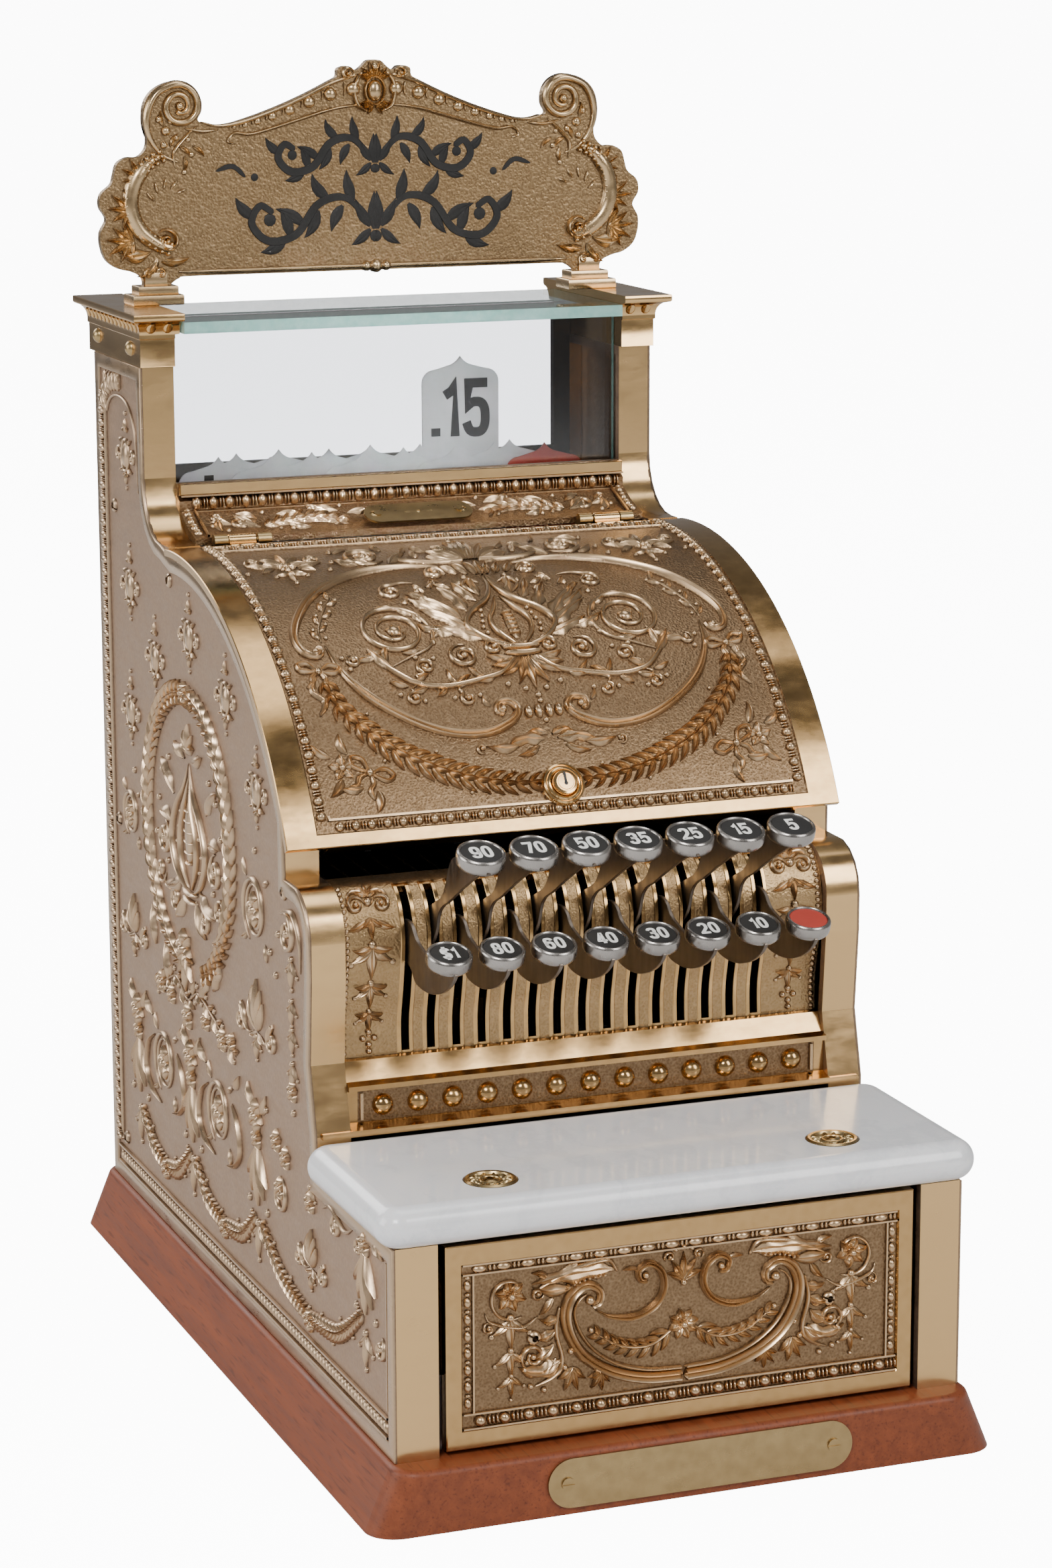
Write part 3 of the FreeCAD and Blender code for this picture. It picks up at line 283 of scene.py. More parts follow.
def glass_material():
    """Sheet glass: clear through its faces, green at cut edges; the rear pane's darker tint is
    painted shade for the view through the window.
    """
    material = bpy.data.materials.new("clear_glass_look")
    material.use_nodes = True
    tree = material.node_tree
    tree.nodes.remove(tree.nodes["Principled BSDF"])
    where = add(tree, "TexCoord").outputs["Object"]
    facing = add(tree, "NewGeometry").outputs["True Normal"]
    across, upward = (math_node(tree, "ABSOLUTE", part) for part in split(tree, facing)[1:])
    depth, height = split(tree, where)[1:]
    upper = above(tree, height, (low("top_glass")[2] - 0.05) * MM)
    upright = opposite(tree, upper)
    is_face = plus(tree, times(tree, upper, above(tree, upward, 0.7)),
                   times(tree, upright, above(tree, across, 0.7)))
    between_panes = 0.16
    behind = times(tree, above(tree, depth, between_panes), upright)
    # Painted shade: the rear pane lets through much less light than the front panes, which darkens
    # the view through the window.
    glass_tint_and_painted_shade = blend(tree, behind, (0.90, 0.905, 0.91), (0.58, 0.585, 0.60))
    clear = add(tree, "BsdfTransparent", None, Color=glass_tint_and_painted_shade).outputs[0]
    smears = span(tree, noise(tree, where, 40, 5, 0.7), 0.4, 0.8, 0.02, 0.09)
    shine = add(tree, "BsdfGlossy", None, Color=(1, 1, 1, 1), Roughness=smears).outputs[0]
    gloss = add(tree, "Fresnel", None, IOR=1.45).outputs[0]
    face = add(tree, "MixShader", None, i0=gloss, i1=clear, i2=shine).outputs[0]
    chips = blend(tree, noise(tree, where, 260, 4), (0.20, 0.48, 0.42), (0.50, 0.80, 0.72))
    edge_body = add(tree, "BsdfPrincipled", None, Base_Color=chips, Roughness=0.12).outputs[0]
    edge = add(tree, "MixShader", None, i0=0.25, i1=edge_body, i2=clear).outputs[0]
    mixed = add(tree, "MixShader", None, i0=is_face, i1=edge, i2=face).outputs[0]
    tree.links.new(mixed, tree.nodes["Material Output"].inputs[0])
    return material


glass = glass_material()

CAD_LOOKS = {
    "wood_base": base_wood, "base_nameplate": aged, "cabinet_screws": aged,
    "left_side_casting": side_ground, "right_side_casting": side_ground,
    "back_panel": cast, "upper_front_panel": cast, "serial_plate": aged,
    "marble_shelf": marble, "keyboard_rail": polished, "key_shaft": screw_metal,
    "flag_guides": screw_metal, "window_panes": glass, "top_glass": glass,
    "rear_window_frame": bronze, "lid_hinges": aged, "mechanism_deck": iron,
    "mechanism_frame": iron, "bell_gong": bell, "bell_hammer": screw_metal,
    "drawer_runners": screw_metal, "drawer_box": drawer_wood,
}
for index in range(1, 15):
    CAD_LOOKS[f"flag_{index:02d}"] = flag_white
CAD_LOOKS["flag_15"] = flag_red
for name, look in CAD_LOOKS.items():
    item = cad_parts[name]
    if not item.material_slots:
        item.data.materials.append(look)
    for entry in item.material_slots:
        entry.material = look


# ------------------------------------------------------------------ surfaces

SIDES = (("left", -1), ("right", 1))
BODY_HALF, REAR_Y = 118.0, 198.7
LID_Y, LID_Z, LID_R, LID_HALF = 75.0, 164.3, 171.0, 120.25
LID_START, LID_END, LOCK_ANGLE = math.radians(25.7), math.radians(94.4), math.radians(31.6)
LID_LENGTH = LID_R * (LID_END - LID_START)
LOCK_V = LID_R * (LOCK_ANGLE - LID_START)
PANEL_HALF, PANEL_LOW, PANEL_TOP, SUNK = 107.0, 5.3, 199.0, 0.7
POST_FACE, SIGN_FRONT, SIGN_BACK, SHELF_TOP, CORNICE_TOP = 124.0, 156.0, 160.0, 127.0, 432.0


def stack(x, y, z):
    return np.stack(np.broadcast_arrays(x, y, z), -1).astype(float)


def on_front(y):
    return lambda u, v, h: stack(u, y - h, v)


def on_rear(y):
    return lambda u, v, h: stack(u, y + h, v)


def on_side(sign):
    return lambda u, v, h: stack(sign * (BODY_HALF + h), u, v)


def on_top(z):
    return lambda u, v, h: stack(u, v, z + h)


def on_lid(u, v, h):
    """v is the length along the curve, from the lid's bottom edge."""
    angle = LID_START + v / LID_R
    return stack(u, LID_Y - (LID_R + h) * np.cos(angle), LID_Z + (LID_R + h) * np.sin(angle))


def on_curve(points):
    """Surface swept along X over a line of (y, z) points; v is the length along it."""
    line = curve(points, 1.0)
    run = np.concatenate([[0], np.cumsum(np.linalg.norm(np.diff(line, axis=0), axis=1))])
    slope = np.gradient(line, axis=0)
    slope /= np.linalg.norm(slope, axis=1)[:, None]

    def place(u, v, h):
        y, z = (np.interp(v, run, line[:, k]) for k in (0, 1))
        ty, tz = (np.interp(v, run, slope[:, k]) for k in (0, 1))
        return stack(u, y - h * tz, z + h * ty)

    place.length = run[-1]
    return place


def on_matrix(matrix):
    """Flat surface in a matrix's own X and Y."""
    return lambda u, v, h: stack(*(x * u + y * v + z * h + start
                                   for x, y, z, start in matrix[:3]))


def raised(place, scale):
    """Same surface with its relief made taller."""
    return lambda u, v, h: place(u, v, scale * np.asarray(h))


def mirrored(place):
    return lambda u, v, h: place(-u, v, h)


def halves(piece, place):
    """Lays a piece on a surface, then on its mirror image."""
    for side in (place, mirrored(place)):
        piece.place = side
        yield


def curve(points, step=1.1, loop=False):
    """Smooth line through the points, sampled about every step."""
    p = np.array(points, float)
    p = np.vstack([p[-1], p, p[0], p[1]]) if loop else np.vstack(
        [2 * p[0] - p[1], p, 2 * p[-1] - p[-2]])
    runs = []
    for a, b, c, d in zip(p, p[1:], p[2:], p[3:]):
        count = max(2, int(np.linalg.norm(c - b) / step) + 1)
        t = np.linspace(0, 1, count, endpoint=False)[:, None]
        runs.append(0.5 * (2 * b + (c - a) * t + (2 * a - 5 * b + 4 * c - d) * t**2
                           + (3 * b - a - 3 * c + d) * t**3))
    runs.append(p[-2:-1])
    return np.vstack(runs)


def steps(*stops):
    """Numbers from (value, value, step) runs, ends included once."""
    found = []
    for first, last, step in stops:
        count = max(1, round(abs(last - first) / step))
        found += [first + (last - first) * k / count for k in range(count + 1)]
    return sorted(set(round(x, 4) for x in found))


def both_ways(values):
    return sorted(set([-x for x in values] + list(values)))


# ------------------------------------------------------------------ pieces

class Piece:
    """Mesh collected in parts: patches laid on a surface, turned forms and slabs."""

    def __init__(self, place=None):
        self.place = place
        self.points, self.faces, self.looks, self.proud = [], [], [], []
        self.count, self.look = 0, 0

    def keep(self, points, faces, proud, looks=None):
        self.points.append(points)
        self.faces += [tuple(i + self.count for i in f) for f in faces]
        self.looks += looks or [self.look] * len(faces)
        self.proud.append(np.broadcast_to(proud, len(points)))
        self.count += len(points)

    def patch(self, u, v, h, proud=None):
        """Grid of surface points, wound so that it faces outwards."""
        u, v, h = np.broadcast_arrays(u, v, h)
        spots = self.place(u, v, h)
        a, b, c, d = spots[:-1, :-1], spots[1:, :-1], spots[1:, 1:], spots[:-1, 1:]
        facing = np.cross(c - a, d - b).reshape(-1, 3).sum(0)
        middle = tuple(np.mean(k) for k in (u, v))
        out = self.place(*middle, 1.0) - self.place(*middle, 0.0)
        rows, cols = u.shape
        index = np.arange(rows * cols).reshape(rows, cols)
        corners = [index[:-1, :-1], index[1:, :-1], index[1:, 1:], index[:-1, 1:]]
        if facing @ out < 0:
            corners.reverse()
        faces = np.stack(corners, -1).reshape(-1, 4).tolist()
        value = np.clip(h / 1.1, 0.001, 1) if proud is None else proud
        self.keep(spots.reshape(-1, 3), faces, np.asarray(value, float).ravel()
                  if np.ndim(value) else value)

    def solid(self, points, faces, proud=0.9):
        """Closed shell with its faces turned outwards."""
        mesh = bmesh.new()
        made = [mesh.verts.new(p) for p in points]
        for f in faces:
            mesh.faces.new([made[i] for i in f])
        bmesh.ops.recalc_face_normals(mesh, faces=mesh.faces)
        mesh.verts.index_update()
        self.keep(np.array(points, float),
                  [[v.index for v in f.verts] for f in mesh.faces], proud)
        mesh.free()

    def turned(self, profile, matrix, segments=32, proud=0.9):
        """Shape turned about its own Z from (radius, height) points."""
        angles = np.linspace(0, 2 * math.pi, segments, endpoint=False)
        points = [matrix @ Vector((r * math.cos(a), r * math.sin(a), z))
                  for r, z in profile for a in angles]
        faces = []
        for i in range(len(profile) - 1):
            for j in range(segments):
                k = (j + 1) % segments
                faces.append((i * segments + j, i * segments + k,
                              (i + 1) * segments + k, (i + 1) * segments + j))
        (first_r, first_z), (next_r, next_z) = profile[:2]
        first = [points[n] for n in faces[0]]
        facing = (first[1] - first[0]).cross(first[3] - first[0])
        axis_up = (matrix.to_3x3() @ Vector((0, 0, 1))).normalized()
        spoke = sum(first, Vector()) / 4 - matrix @ Vector((0, 0, first_z))
        spoke -= axis_up * spoke.dot(axis_up)
        if spoke.length < 1e-6:
            spoke = matrix.to_3x3() @ Vector((1, 0, 0))
        out = spoke.normalized() * (next_z - first_z) + axis_up * (first_r - next_r)
        if facing.dot(out) < 0:
            faces = [f[::-1] for f in faces]
        self.keep(np.array([tuple(p) for p in points]), faces, proud)

    def sheet(self, us, vs, height, thickness, keep=None, look=None, proud=0.5):
        """Shell over a grid of cells; cells where keep is false are left open."""
        us, vs = np.array(us, float), np.array(vs, float)
        grid_u, grid_v = np.meshgrid(us, vs, indexing="ij")
        outer = self.place(grid_u, grid_v, height(grid_u, grid_v)).reshape(-1, 3)
        inner = self.place(grid_u, grid_v, -thickness + 0 * grid_u).reshape(-1, 3)
        rows, cols = len(us) - 1, len(vs) - 1
        middles = [[((us[i] + us[i + 1]) / 2, (vs[j] + vs[j + 1]) / 2)
                    for j in range(cols)] for i in range(rows)]
        kept = [[keep is None or keep(*middles[i][j]) for j in range(cols)]
                for i in range(rows)]
        here, right, up, out = (self.place(us[i], vs[j], h) for i, j, h in (
            (0, 0, 0.0), (1, 0, 0.0), (0, 1, 0.0), (0, 0, 1.0)))
        flip = np.cross(right - here, up - here) @ (out - here) < 0
        base, total, faces, looks = cols + 1, len(outer), [], []
        for i in range(rows):
            for j in range(cols):
                if not kept[i][j]:
                    continue
                a, b, c, d = (i * base + j, (i + 1) * base + j, (i + 1) * base + j + 1,
                              i * base + j + 1)
                found = [(a, b, c, d), (d + total, c + total, b + total, a + total)]
                for near, edge in (((i, j - 1), (a, b)), ((i + 1, j), (b, c)),
                                   ((i, j + 1), (c, d)), ((i - 1, j), (d, a))):
                    inside = 0 <= near[0] < rows and 0 <= near[1] < cols
                    if not (inside and kept[near[0]][near[1]]):
                        found.append((edge[1], edge[0], edge[0] + total, edge[1] + total))
                faces += [f[::-1] for f in found] if flip else found
                looks += [look(*middles[i][j]) if look else self.look] * len(found)
        self.keep(np.concatenate([outer, inner]), faces, proud, looks)

    def slab(self, outline, low_h, high_h, edge=0.4, proud=0.9):
        """Flat plate from a closed outline in (u, v), with a small rounded rim."""
        line = np.array(outline, float)
        area = np.sum(line[:, 0] * np.roll(line[:, 1], -1) - np.roll(line[:, 0], -1) * line[:, 1])
        if area < 0:
            line = line[::-1]
        ahead = np.roll(line, -1, 0) - line
        ahead /= np.linalg.norm(ahead, axis=1)[:, None]
        behind = np.roll(ahead, 1, 0)
        inward = np.stack([-(ahead + behind)[:, 1], (ahead + behind)[:, 0]], 1)
        inward /= np.linalg.norm(inward, axis=1)[:, None]
        rings = [(edge, low_h), (0, low_h + edge), (0, high_h - edge), (edge, high_h)]
        if not edge:
            rings = [(0, low_h), (0, high_h)]
        points, faces, count = [], [], len(line)
        for inset, h in rings:
            spot = line + inward * inset
            points += list(self.place(spot[:, 0], spot[:, 1], np.full(count, float(h))))
        for r in range(len(rings) - 1):
            for i in range(count):
                k = (i + 1) % count
                faces.append((r * count + i, r * count + k, (r + 1) * count + k,
                              (r + 1) * count + i))
        flat_line = [Vector((*spot, 0)) for spot in line]
        last = (len(rings) - 1) * count
        for a, b, c in tessellate_polygon([flat_line]):
            faces += [(c, b, a), (a + last, b + last, c + last)]
        self.solid(points, faces, proud)

    def make(self, name, body, looks, hides=(), sharp=38):
        points = np.concatenate(self.points) * MM
        mesh = bpy.data.meshes.new(name)
        mesh.from_pydata(points.tolist(), [], self.faces)
        for look in looks:
            mesh.materials.append(look)
        mesh.polygons.foreach_set("material_index", self.looks)
        value = mesh.attributes.new("relief", "FLOAT", "POINT")
        value.data.foreach_set("value", np.concatenate(self.proud).astype(np.float32))
        work = bmesh.new()
        work.from_mesh(mesh)
        bmesh.ops.remove_doubles(work, verts=work.verts, dist=2e-6)
        loose = [v for v in work.verts if not v.link_faces]
        bmesh.ops.delete(work, geom=loose, context="VERTS")
        work.to_mesh(mesh)
        work.free()
        mesh.polygons.foreach_set("use_smooth", [True] * len(mesh.polygons))
        mesh.set_sharp_from_angle(angle=math.radians(sharp))
        item = bpy.data.objects.new(name, mesh)
        bpy.context.scene.collection.objects.link(item)
        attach(item, body)
        if hides:
            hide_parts(*hides)


class Shift:
    """The same piece with its surface raised."""

    def __init__(self, piece, rise):
        self.piece, self.rise = piece, rise

    def patch(self, u, v, h, proud=None):
        self.piece.patch(u, v, np.asarray(h) + self.rise, proud)


# ------------------------------------------------------------------ ornament

ROUND = ((-1, -0.15), (-0.86, 0.42), (-0.5, 0.85), (0, 1), (0.5, 0.85), (0.86, 0.42),
         (1, -0.15))
DOUBLE = ((-1, -0.15), (-0.85, 0.6), (-0.55, 1), (-0.22, 0.75), (0, 0.3), (0.22, 0.75),
          (0.55, 1), (0.85, 0.6), (1, -0.15))
FLAT = ((-1, -0.2), (-0.95, 0.75), (-0.86, 1), (0.86, 1), (0.95, 0.75), (1, -0.2))
VEINED = ((-1, -0.15), (-0.72, 0.6), (-0.3, 1), (0, 0.6), (0.3, 1), (0.72, 0.6), (1, -0.15))


def mitred(path, closed, sharpest):
    """Directions of a line's legs, and at its points the heading and the mitre's reach."""
    legs = np.diff(path, axis=0)
    legs /= np.maximum(np.linalg.norm(legs, axis=1), 1e-9)[:, None]
    before = np.vstack([legs[-1:] if closed else legs[:1], legs])
    after = np.vstack([legs, legs[:1] if closed else legs[-1:]])
    ahead = before + after
    ahead /= np.maximum(np.linalg.norm(ahead, axis=1), 1e-9)[:, None]
    return legs, ahead, 1 / np.clip((ahead * after).sum(1), sharpest, 1)


def ridge(p, points, width=1.8, height=1.2, tips=(0.4, 0.4), form=ROUND, loop=False,
          straight=False, step=1.2):
    """Raised line along the points; tips scale its two ends."""
    if straight:
        path = np.array(points, float)
        if loop:
            path = np.vstack([path, path[:1]])
    else:
        path = curve(points, step, loop)
    _, ahead, mitre = mitred(path, loop, 0.5)
    share = np.linspace(0, 1, len(path))
    size = np.ones(len(path))
    if not loop:
        size = np.interp(share, (0, 0.015, 0.25, 0.75, 0.985, 1),
                         (0, tips[0], 1, 1, tips[1], 0))
        size[1] = max(size[1], tips[0])
        size[-2] = max(size[-2], tips[1])
    offsets, ups = np.array(form).T
    reach = offsets * (width / 2) * (size * mitre)[:, None]
    p.patch(path[:, :1] - ahead[:, 1:] * reach, path[:, 1:] + ahead[:, :1] * reach,
            ups * height * size[:, None])


def polar(u, v, reach, angle):
    """Point at a distance from (u, v), in the direction of an angle in degrees."""
    turn = math.radians(angle)
    return u + reach * math.cos(turn), v + reach * math.sin(turn)


def oval(u, v, ru, rv, count):
    """Evenly spaced points round an oval."""
    return [(u + ru * math.cos(a), v + rv * math.sin(a))
            for a in np.linspace(0, 2 * math.pi, count, endpoint=False)]


def dome(p, u, v, ru, rv=None, height=None, angle=0, segments=10):
    rv = rv or ru
    height = height or min(ru, rv)
    rings = np.array([(1, -0.15), (0.93, 0.38), (0.7, 0.75), (0.36, 0.95), (0.001, 1)])
    around = np.linspace(0, 2 * math.pi, segments + 1)
    turn = math.radians(angle)
    a = rings[:, :1] * np.cos(around) * ru
    b = rings[:, :1] * np.sin(around) * rv
    p.patch(u + a * math.cos(turn) - b * math.sin(turn),
            v + a * math.sin(turn) + b * math.cos(turn),
            rings[:, 1:] * height + 0 * a)


def beads(p, spots, radius, height):
    """Domes of one size."""
    for u, v in spots:
        dome(p, u, v, radius, height=height)


def strip(p, first, last, width, height):
    """Straight flat-topped strip between two points."""
    ridge(p, [first, last], width, height, (1, 1), FLAT, straight=True)


def leaf(p, u, v, length, width, angle, curl=0, height=1.2, lobes=0):
    """Veined leaf from its stalk; curl bends it, lobes notch its edge."""
    rows = 7 + 3 * lobes
    t = np.linspace(0, 1, rows)
    heading = math.radians(angle) + math.radians(curl) * t
    leg = length / (rows - 1)
    cu = u + np.concatenate([[0], np.cumsum(np.cos(heading[:-1]))]) * leg
    cv = v + np.concatenate([[0], np.cumsum(np.sin(heading[:-1]))]) * leg
    half = width / 2 * np.sin(math.pi * np.clip(t, 0.04, 0.985) ** 0.75)
    if lobes:
        half *= 1 + 0.28 * np.cos(2 * math.pi * (lobes * t + 0.5))
    offsets, ups = np.array(VEINED).T
    reach = offsets * half[:, None]
    lift = np.sin(math.pi * np.clip(t, 0.05, 0.96)) ** 0.5 * (0.75 + 0.45 * t)
    p.patch(cu[:, None] - np.sin(heading)[:, None] * reach,
            cv[:, None] + np.cos(heading)[:, None] * reach, ups * height * lift[:, None])


def leaves(p, spots, length, width, curl, height, lobes=0):
    """Leaves of one size; each spot gives its place and its angle."""
    for u, v, angle in spots:
        leaf(p, u, v, length, width, angle, curl, height, lobes)


def scroll(p, u, v, radius, turns=1.4, start_angle=0, hand=1, width=1.8, height=1.2,
           lead=()):
    """Spiral about (u, v) ending in a bead; lead is a stem drawn before it."""
    t = np.linspace(0, 1, int(9 * turns) + 4)
    angle = math.radians(start_angle) + hand * 2 * math.pi * turns * t
    r = radius * (1 - 0.74 * t)
    points = list(lead) + list(np.stack([u + r * np.cos(angle), v + r * np.sin(angle)], 1))
    ridge(p, points, width, height, (0.35, 0.7))
    dome(p, u, v, radius * 0.16 + 0.5, height=height * 1.15)


def fan(p, u, v, size, angle=90, spread=120, count=5, width=0.3, height=1.2):
    """Leaves spreading from a point, the middle one longest."""
    for k in range(count):
        share = 2 * k / (count - 1) - 1
        leaf(p, u, v, size * (1 - 0.3 * abs(share)), size * width, angle + share * spread / 2,
             share * 35, height)


def husk(p, u, v, size, angle=-90):
    """Bell-flower: two curled leaves, a middle leaf and a bead."""
    c, s = math.cos(math.radians(angle)), math.sin(math.radians(angle))
    for side in (-1, 1):
        leaf(p, u, v, size * 0.8, size * 0.34, angle + 34 * side, 50 * side, 1.2)
        dome(p, u + size * (0.5 * c - side * 0.62 * s), v + size * (0.5 * s + side * 0.62 * c),
             size * 0.1, height=0.9)
    leaf(p, u, v, size, size * 0.36, angle, 0, 1.5)
    dome(p, *polar(u, v, -size * 0.06, angle), size * 0.13, height=1.5)
    dome(p, *polar(u, v, size * 1.1, angle), size * 0.1, height=1.1)


def rosette(p, u, v, radius, petals=6, height=1.3):
    for k in range(petals):
        angle = 360 * k / petals + 15
        leaf(p, *polar(u, v, radius * 0.15, angle), radius * 0.85, radius * 0.75, angle, 0,
             height)
    dome(p, u, v, radius * 0.28, height=height * 1.35)


def fleuron(p, u, v, size=1.0):
    """Upright drop ornament of bead, bud, almond with curls, and a pendant."""
    dome(p, u, v + 20 * size, 1.2 * size, height=1)
    fan(p, u, v + 11 * size, 6.5 * size, 90, 100, 3, 0.42)
    dome(p, u, v, 4.2 * size, 6.6 * size, 1.5)
    ridge(p, oval(u, v, 5.6 * size, 7.6 * size, 12), 1.3, 1.1, loop=True)
    for side in (-1, 1):
        scroll(p, u + side * 11.5 * size, v - 0.5 * size, 4.4 * size, 1.1,
               90 + side * 90, -side, 1.5, 1.1)
        leaf(p, u + side * 3 * size, v - 6 * size, 8 * size, 3 * size, -90 + side * 62,
             side * 40)
        leaf(p, u + side * 4 * size, v + 5 * size, 6.5 * size, 2.6 * size, 90 - side * 48,
             -side * 40)
    fan(p, u, v - 8 * size, 6 * size, -90, 90, 3, 0.4)
    dome(p, u, v - 16 * size, 1.1 * size, height=0.9)


def pod(p, u, v, width, height_v, rungs=5):
    """Tall bulb between two ogee ribs, with a ribbed almond inside."""
    w, h = width / 2, height_v / 2
    for side in (-1, 1):
        ridge(p, [(u + side * w * a, v + h * b) for a, b in (
            (0.1, -1), (0.72, -0.72), (1, -0.25), (0.72, 0.22), (0.26, 0.6), (0.02, 1))],
            2.0, 1.9, (0.6, 0.2))
        ridge(p, [(u + side * w * a, v + h * b) for a, b in (
            (0.08, -0.92), (0.42, -0.55), (0.46, -0.12), (0.2, 0.35), (0.02, 0.8))],
            1.5, 1.9, (0.5, 0.2))
        for k in range(4):
            b = -0.55 + 0.25 * k
            dome(p, u + side * w * (0.72 - 0.12 * abs(k - 1)), v + h * b, 1.0, height=1.2)
    for k in range(rungs):
        b = -0.5 + 0.95 * k / rungs
        reach = w * 0.3 * math.sin(math.pi * (0.2 + 0.7 * k / rungs))
        ridge(p, [(u - reach, v + h * b), (u, v + h * b - 0.7), (u + reach, v + h * b)],
              1.3, 1.6, (0.5, 0.5))


def along(points, pitch, loop=False, offset=0.5):
    """Evenly spaced (u, v, heading in degrees) along a smooth line."""
    line = curve(points, 0.6, loop)
    run = np.concatenate([[0], np.cumsum(np.linalg.norm(np.diff(line, axis=0), axis=1))])
    count = max(1, round(run[-1] / pitch))
    for k in range(count):
        s = run[-1] * (k + offset) / count
        u, v = (np.interp(s, run, line[:, n]) for n in (0, 1))
        ahead = min(s + 0.5, run[-1])
        behind = max(s - 0.5, 0)
        du, dv = (np.interp(ahead, run, line[:, n]) - np.interp(behind, run, line[:, n])
                  for n in (0, 1))
        yield u, v, math.degrees(math.atan2(dv, du))


def garland(p, points, width=9, pitch=4.2, height=1.9, berries=True):
    """Laurel rope: leaves in threes, thickest at the middle, with berries between."""
    stops = list(along(points, max(pitch, width * 0.5)))
    for k, (u, v, heading) in enumerate(stops):
        size = width * (0.72 + 0.28 * math.sin(math.pi * k / max(1, len(stops) - 1)))
        for side in (-1, 1):
            leaf(p, u, v, size * 0.95, size * 0.3, heading + 48 * side, -34 * side,
                 height * 0.85)
        leaf(p, u, v, size * 0.78, size * 0.3, heading, 0, height)
        if berries and k % 3 == 1:
            dome(p, *polar(u, v, size * 0.62, heading + (90 if k % 2 else -90)), 0.9,
                 height=1)


def wreath(p, u, v, ru, rv, width, height):
    """Laurel ring of two garlands that start at its foot and meet at its top."""
    ring = [(u + ru * math.cos(a), v + rv * math.sin(a)) for a in np.linspace(-1.35, 4.49, 26)]
    half = len(ring) // 2
    garland(p, ring[:half + 1], width, 5.2, height, False)
    garland(p, ring[:half - 1:-1], width, 5.2, height, False)


def bow(p, u, v, size=10, turn=0):
    """Ribbon knot: two loops, two tails."""
    for side in (-1, 1):
        def spot(a, b):
            c, s = math.cos(math.radians(turn)), math.sin(math.radians(turn))
            return (u + size * (side * a * c - b * s), v + size * (side * a * s + b * c))
        ridge(p, [spot(*q) for q in ((0.05, 0), (0.5, 0.42), (0.95, 0.3), (0.8, -0.02),
                                     (0.4, -0.05), (0.05, 0))], 2.4, 1.4, (0.6, 0.6), VEINED)
        ridge(p, [spot(*q) for q in ((0.05, -0.05), (0.32, -0.4), (0.3, -0.75),
                                     (0.62, -1.05))], 2.6, 1.2, (0.6, 0.5), VEINED)
    dome(p, u, v, size * 0.16, size * 0.2, 1.8)


def sprig(p, points, size=5, pitch=5, height=1.1, stem=1.0):
    """Thin stem with leaf pairs and berries."""
    ridge(p, points, stem, 0.9, (0.8, 0.3))
    for k, (u, v, heading) in enumerate(along(points, pitch)):
        side = 1 if k % 2 else -1
        leaf(p, u, v, size, size * 0.4, heading + 48 * side, -25 * side, height)
        dome(p, *polar(u, v, size * 0.42, heading - 70 * side), size * 0.17, height=1.0)


def bead_row(p, points, pitch, bead, across, reels=1, height=1.2, loop=False, segments=8):
    """Beads set along a line with thin reels between them."""
    for u, v, heading in along(points, pitch, loop):
        dome(p, u, v, bead, across, height, heading, segments)
        gap = pitch - 2 * bead
        for k in range(reels):
            dome(p, *polar(u, v, bead + gap * (k + 0.5) / reels, heading),
                 gap / reels * 0.42, across * 0.9, height * 0.75, heading, 6)


def rope_row(p, points, pitch, across, height=1.2, slant=35):
    """Gadroons: slanted rounded bars side by side."""
    for u, v, heading in along(points, pitch):
        dome(p, u, v, pitch * 0.42, across, height, heading - slant, 8)


# ------------------------------------------------------------------ lid

def in_panel(u, v):
    return (abs(u) < PANEL_HALF) & (v > PANEL_LOW) & (v < PANEL_TOP)


def lid_height(u, v):
    inner = np.minimum(np.minimum(PANEL_HALF - np.abs(u), v - PANEL_LOW), PANEL_TOP - v)
    rim = np.minimum(np.minimum(LID_HALF - np.abs(u), v), LID_LENGTH - v)
    return -SUNK * np.clip(inner / 0.6, 0, 1) - 0.35 * np.clip(1 - rim / 0.35, 0, 1)


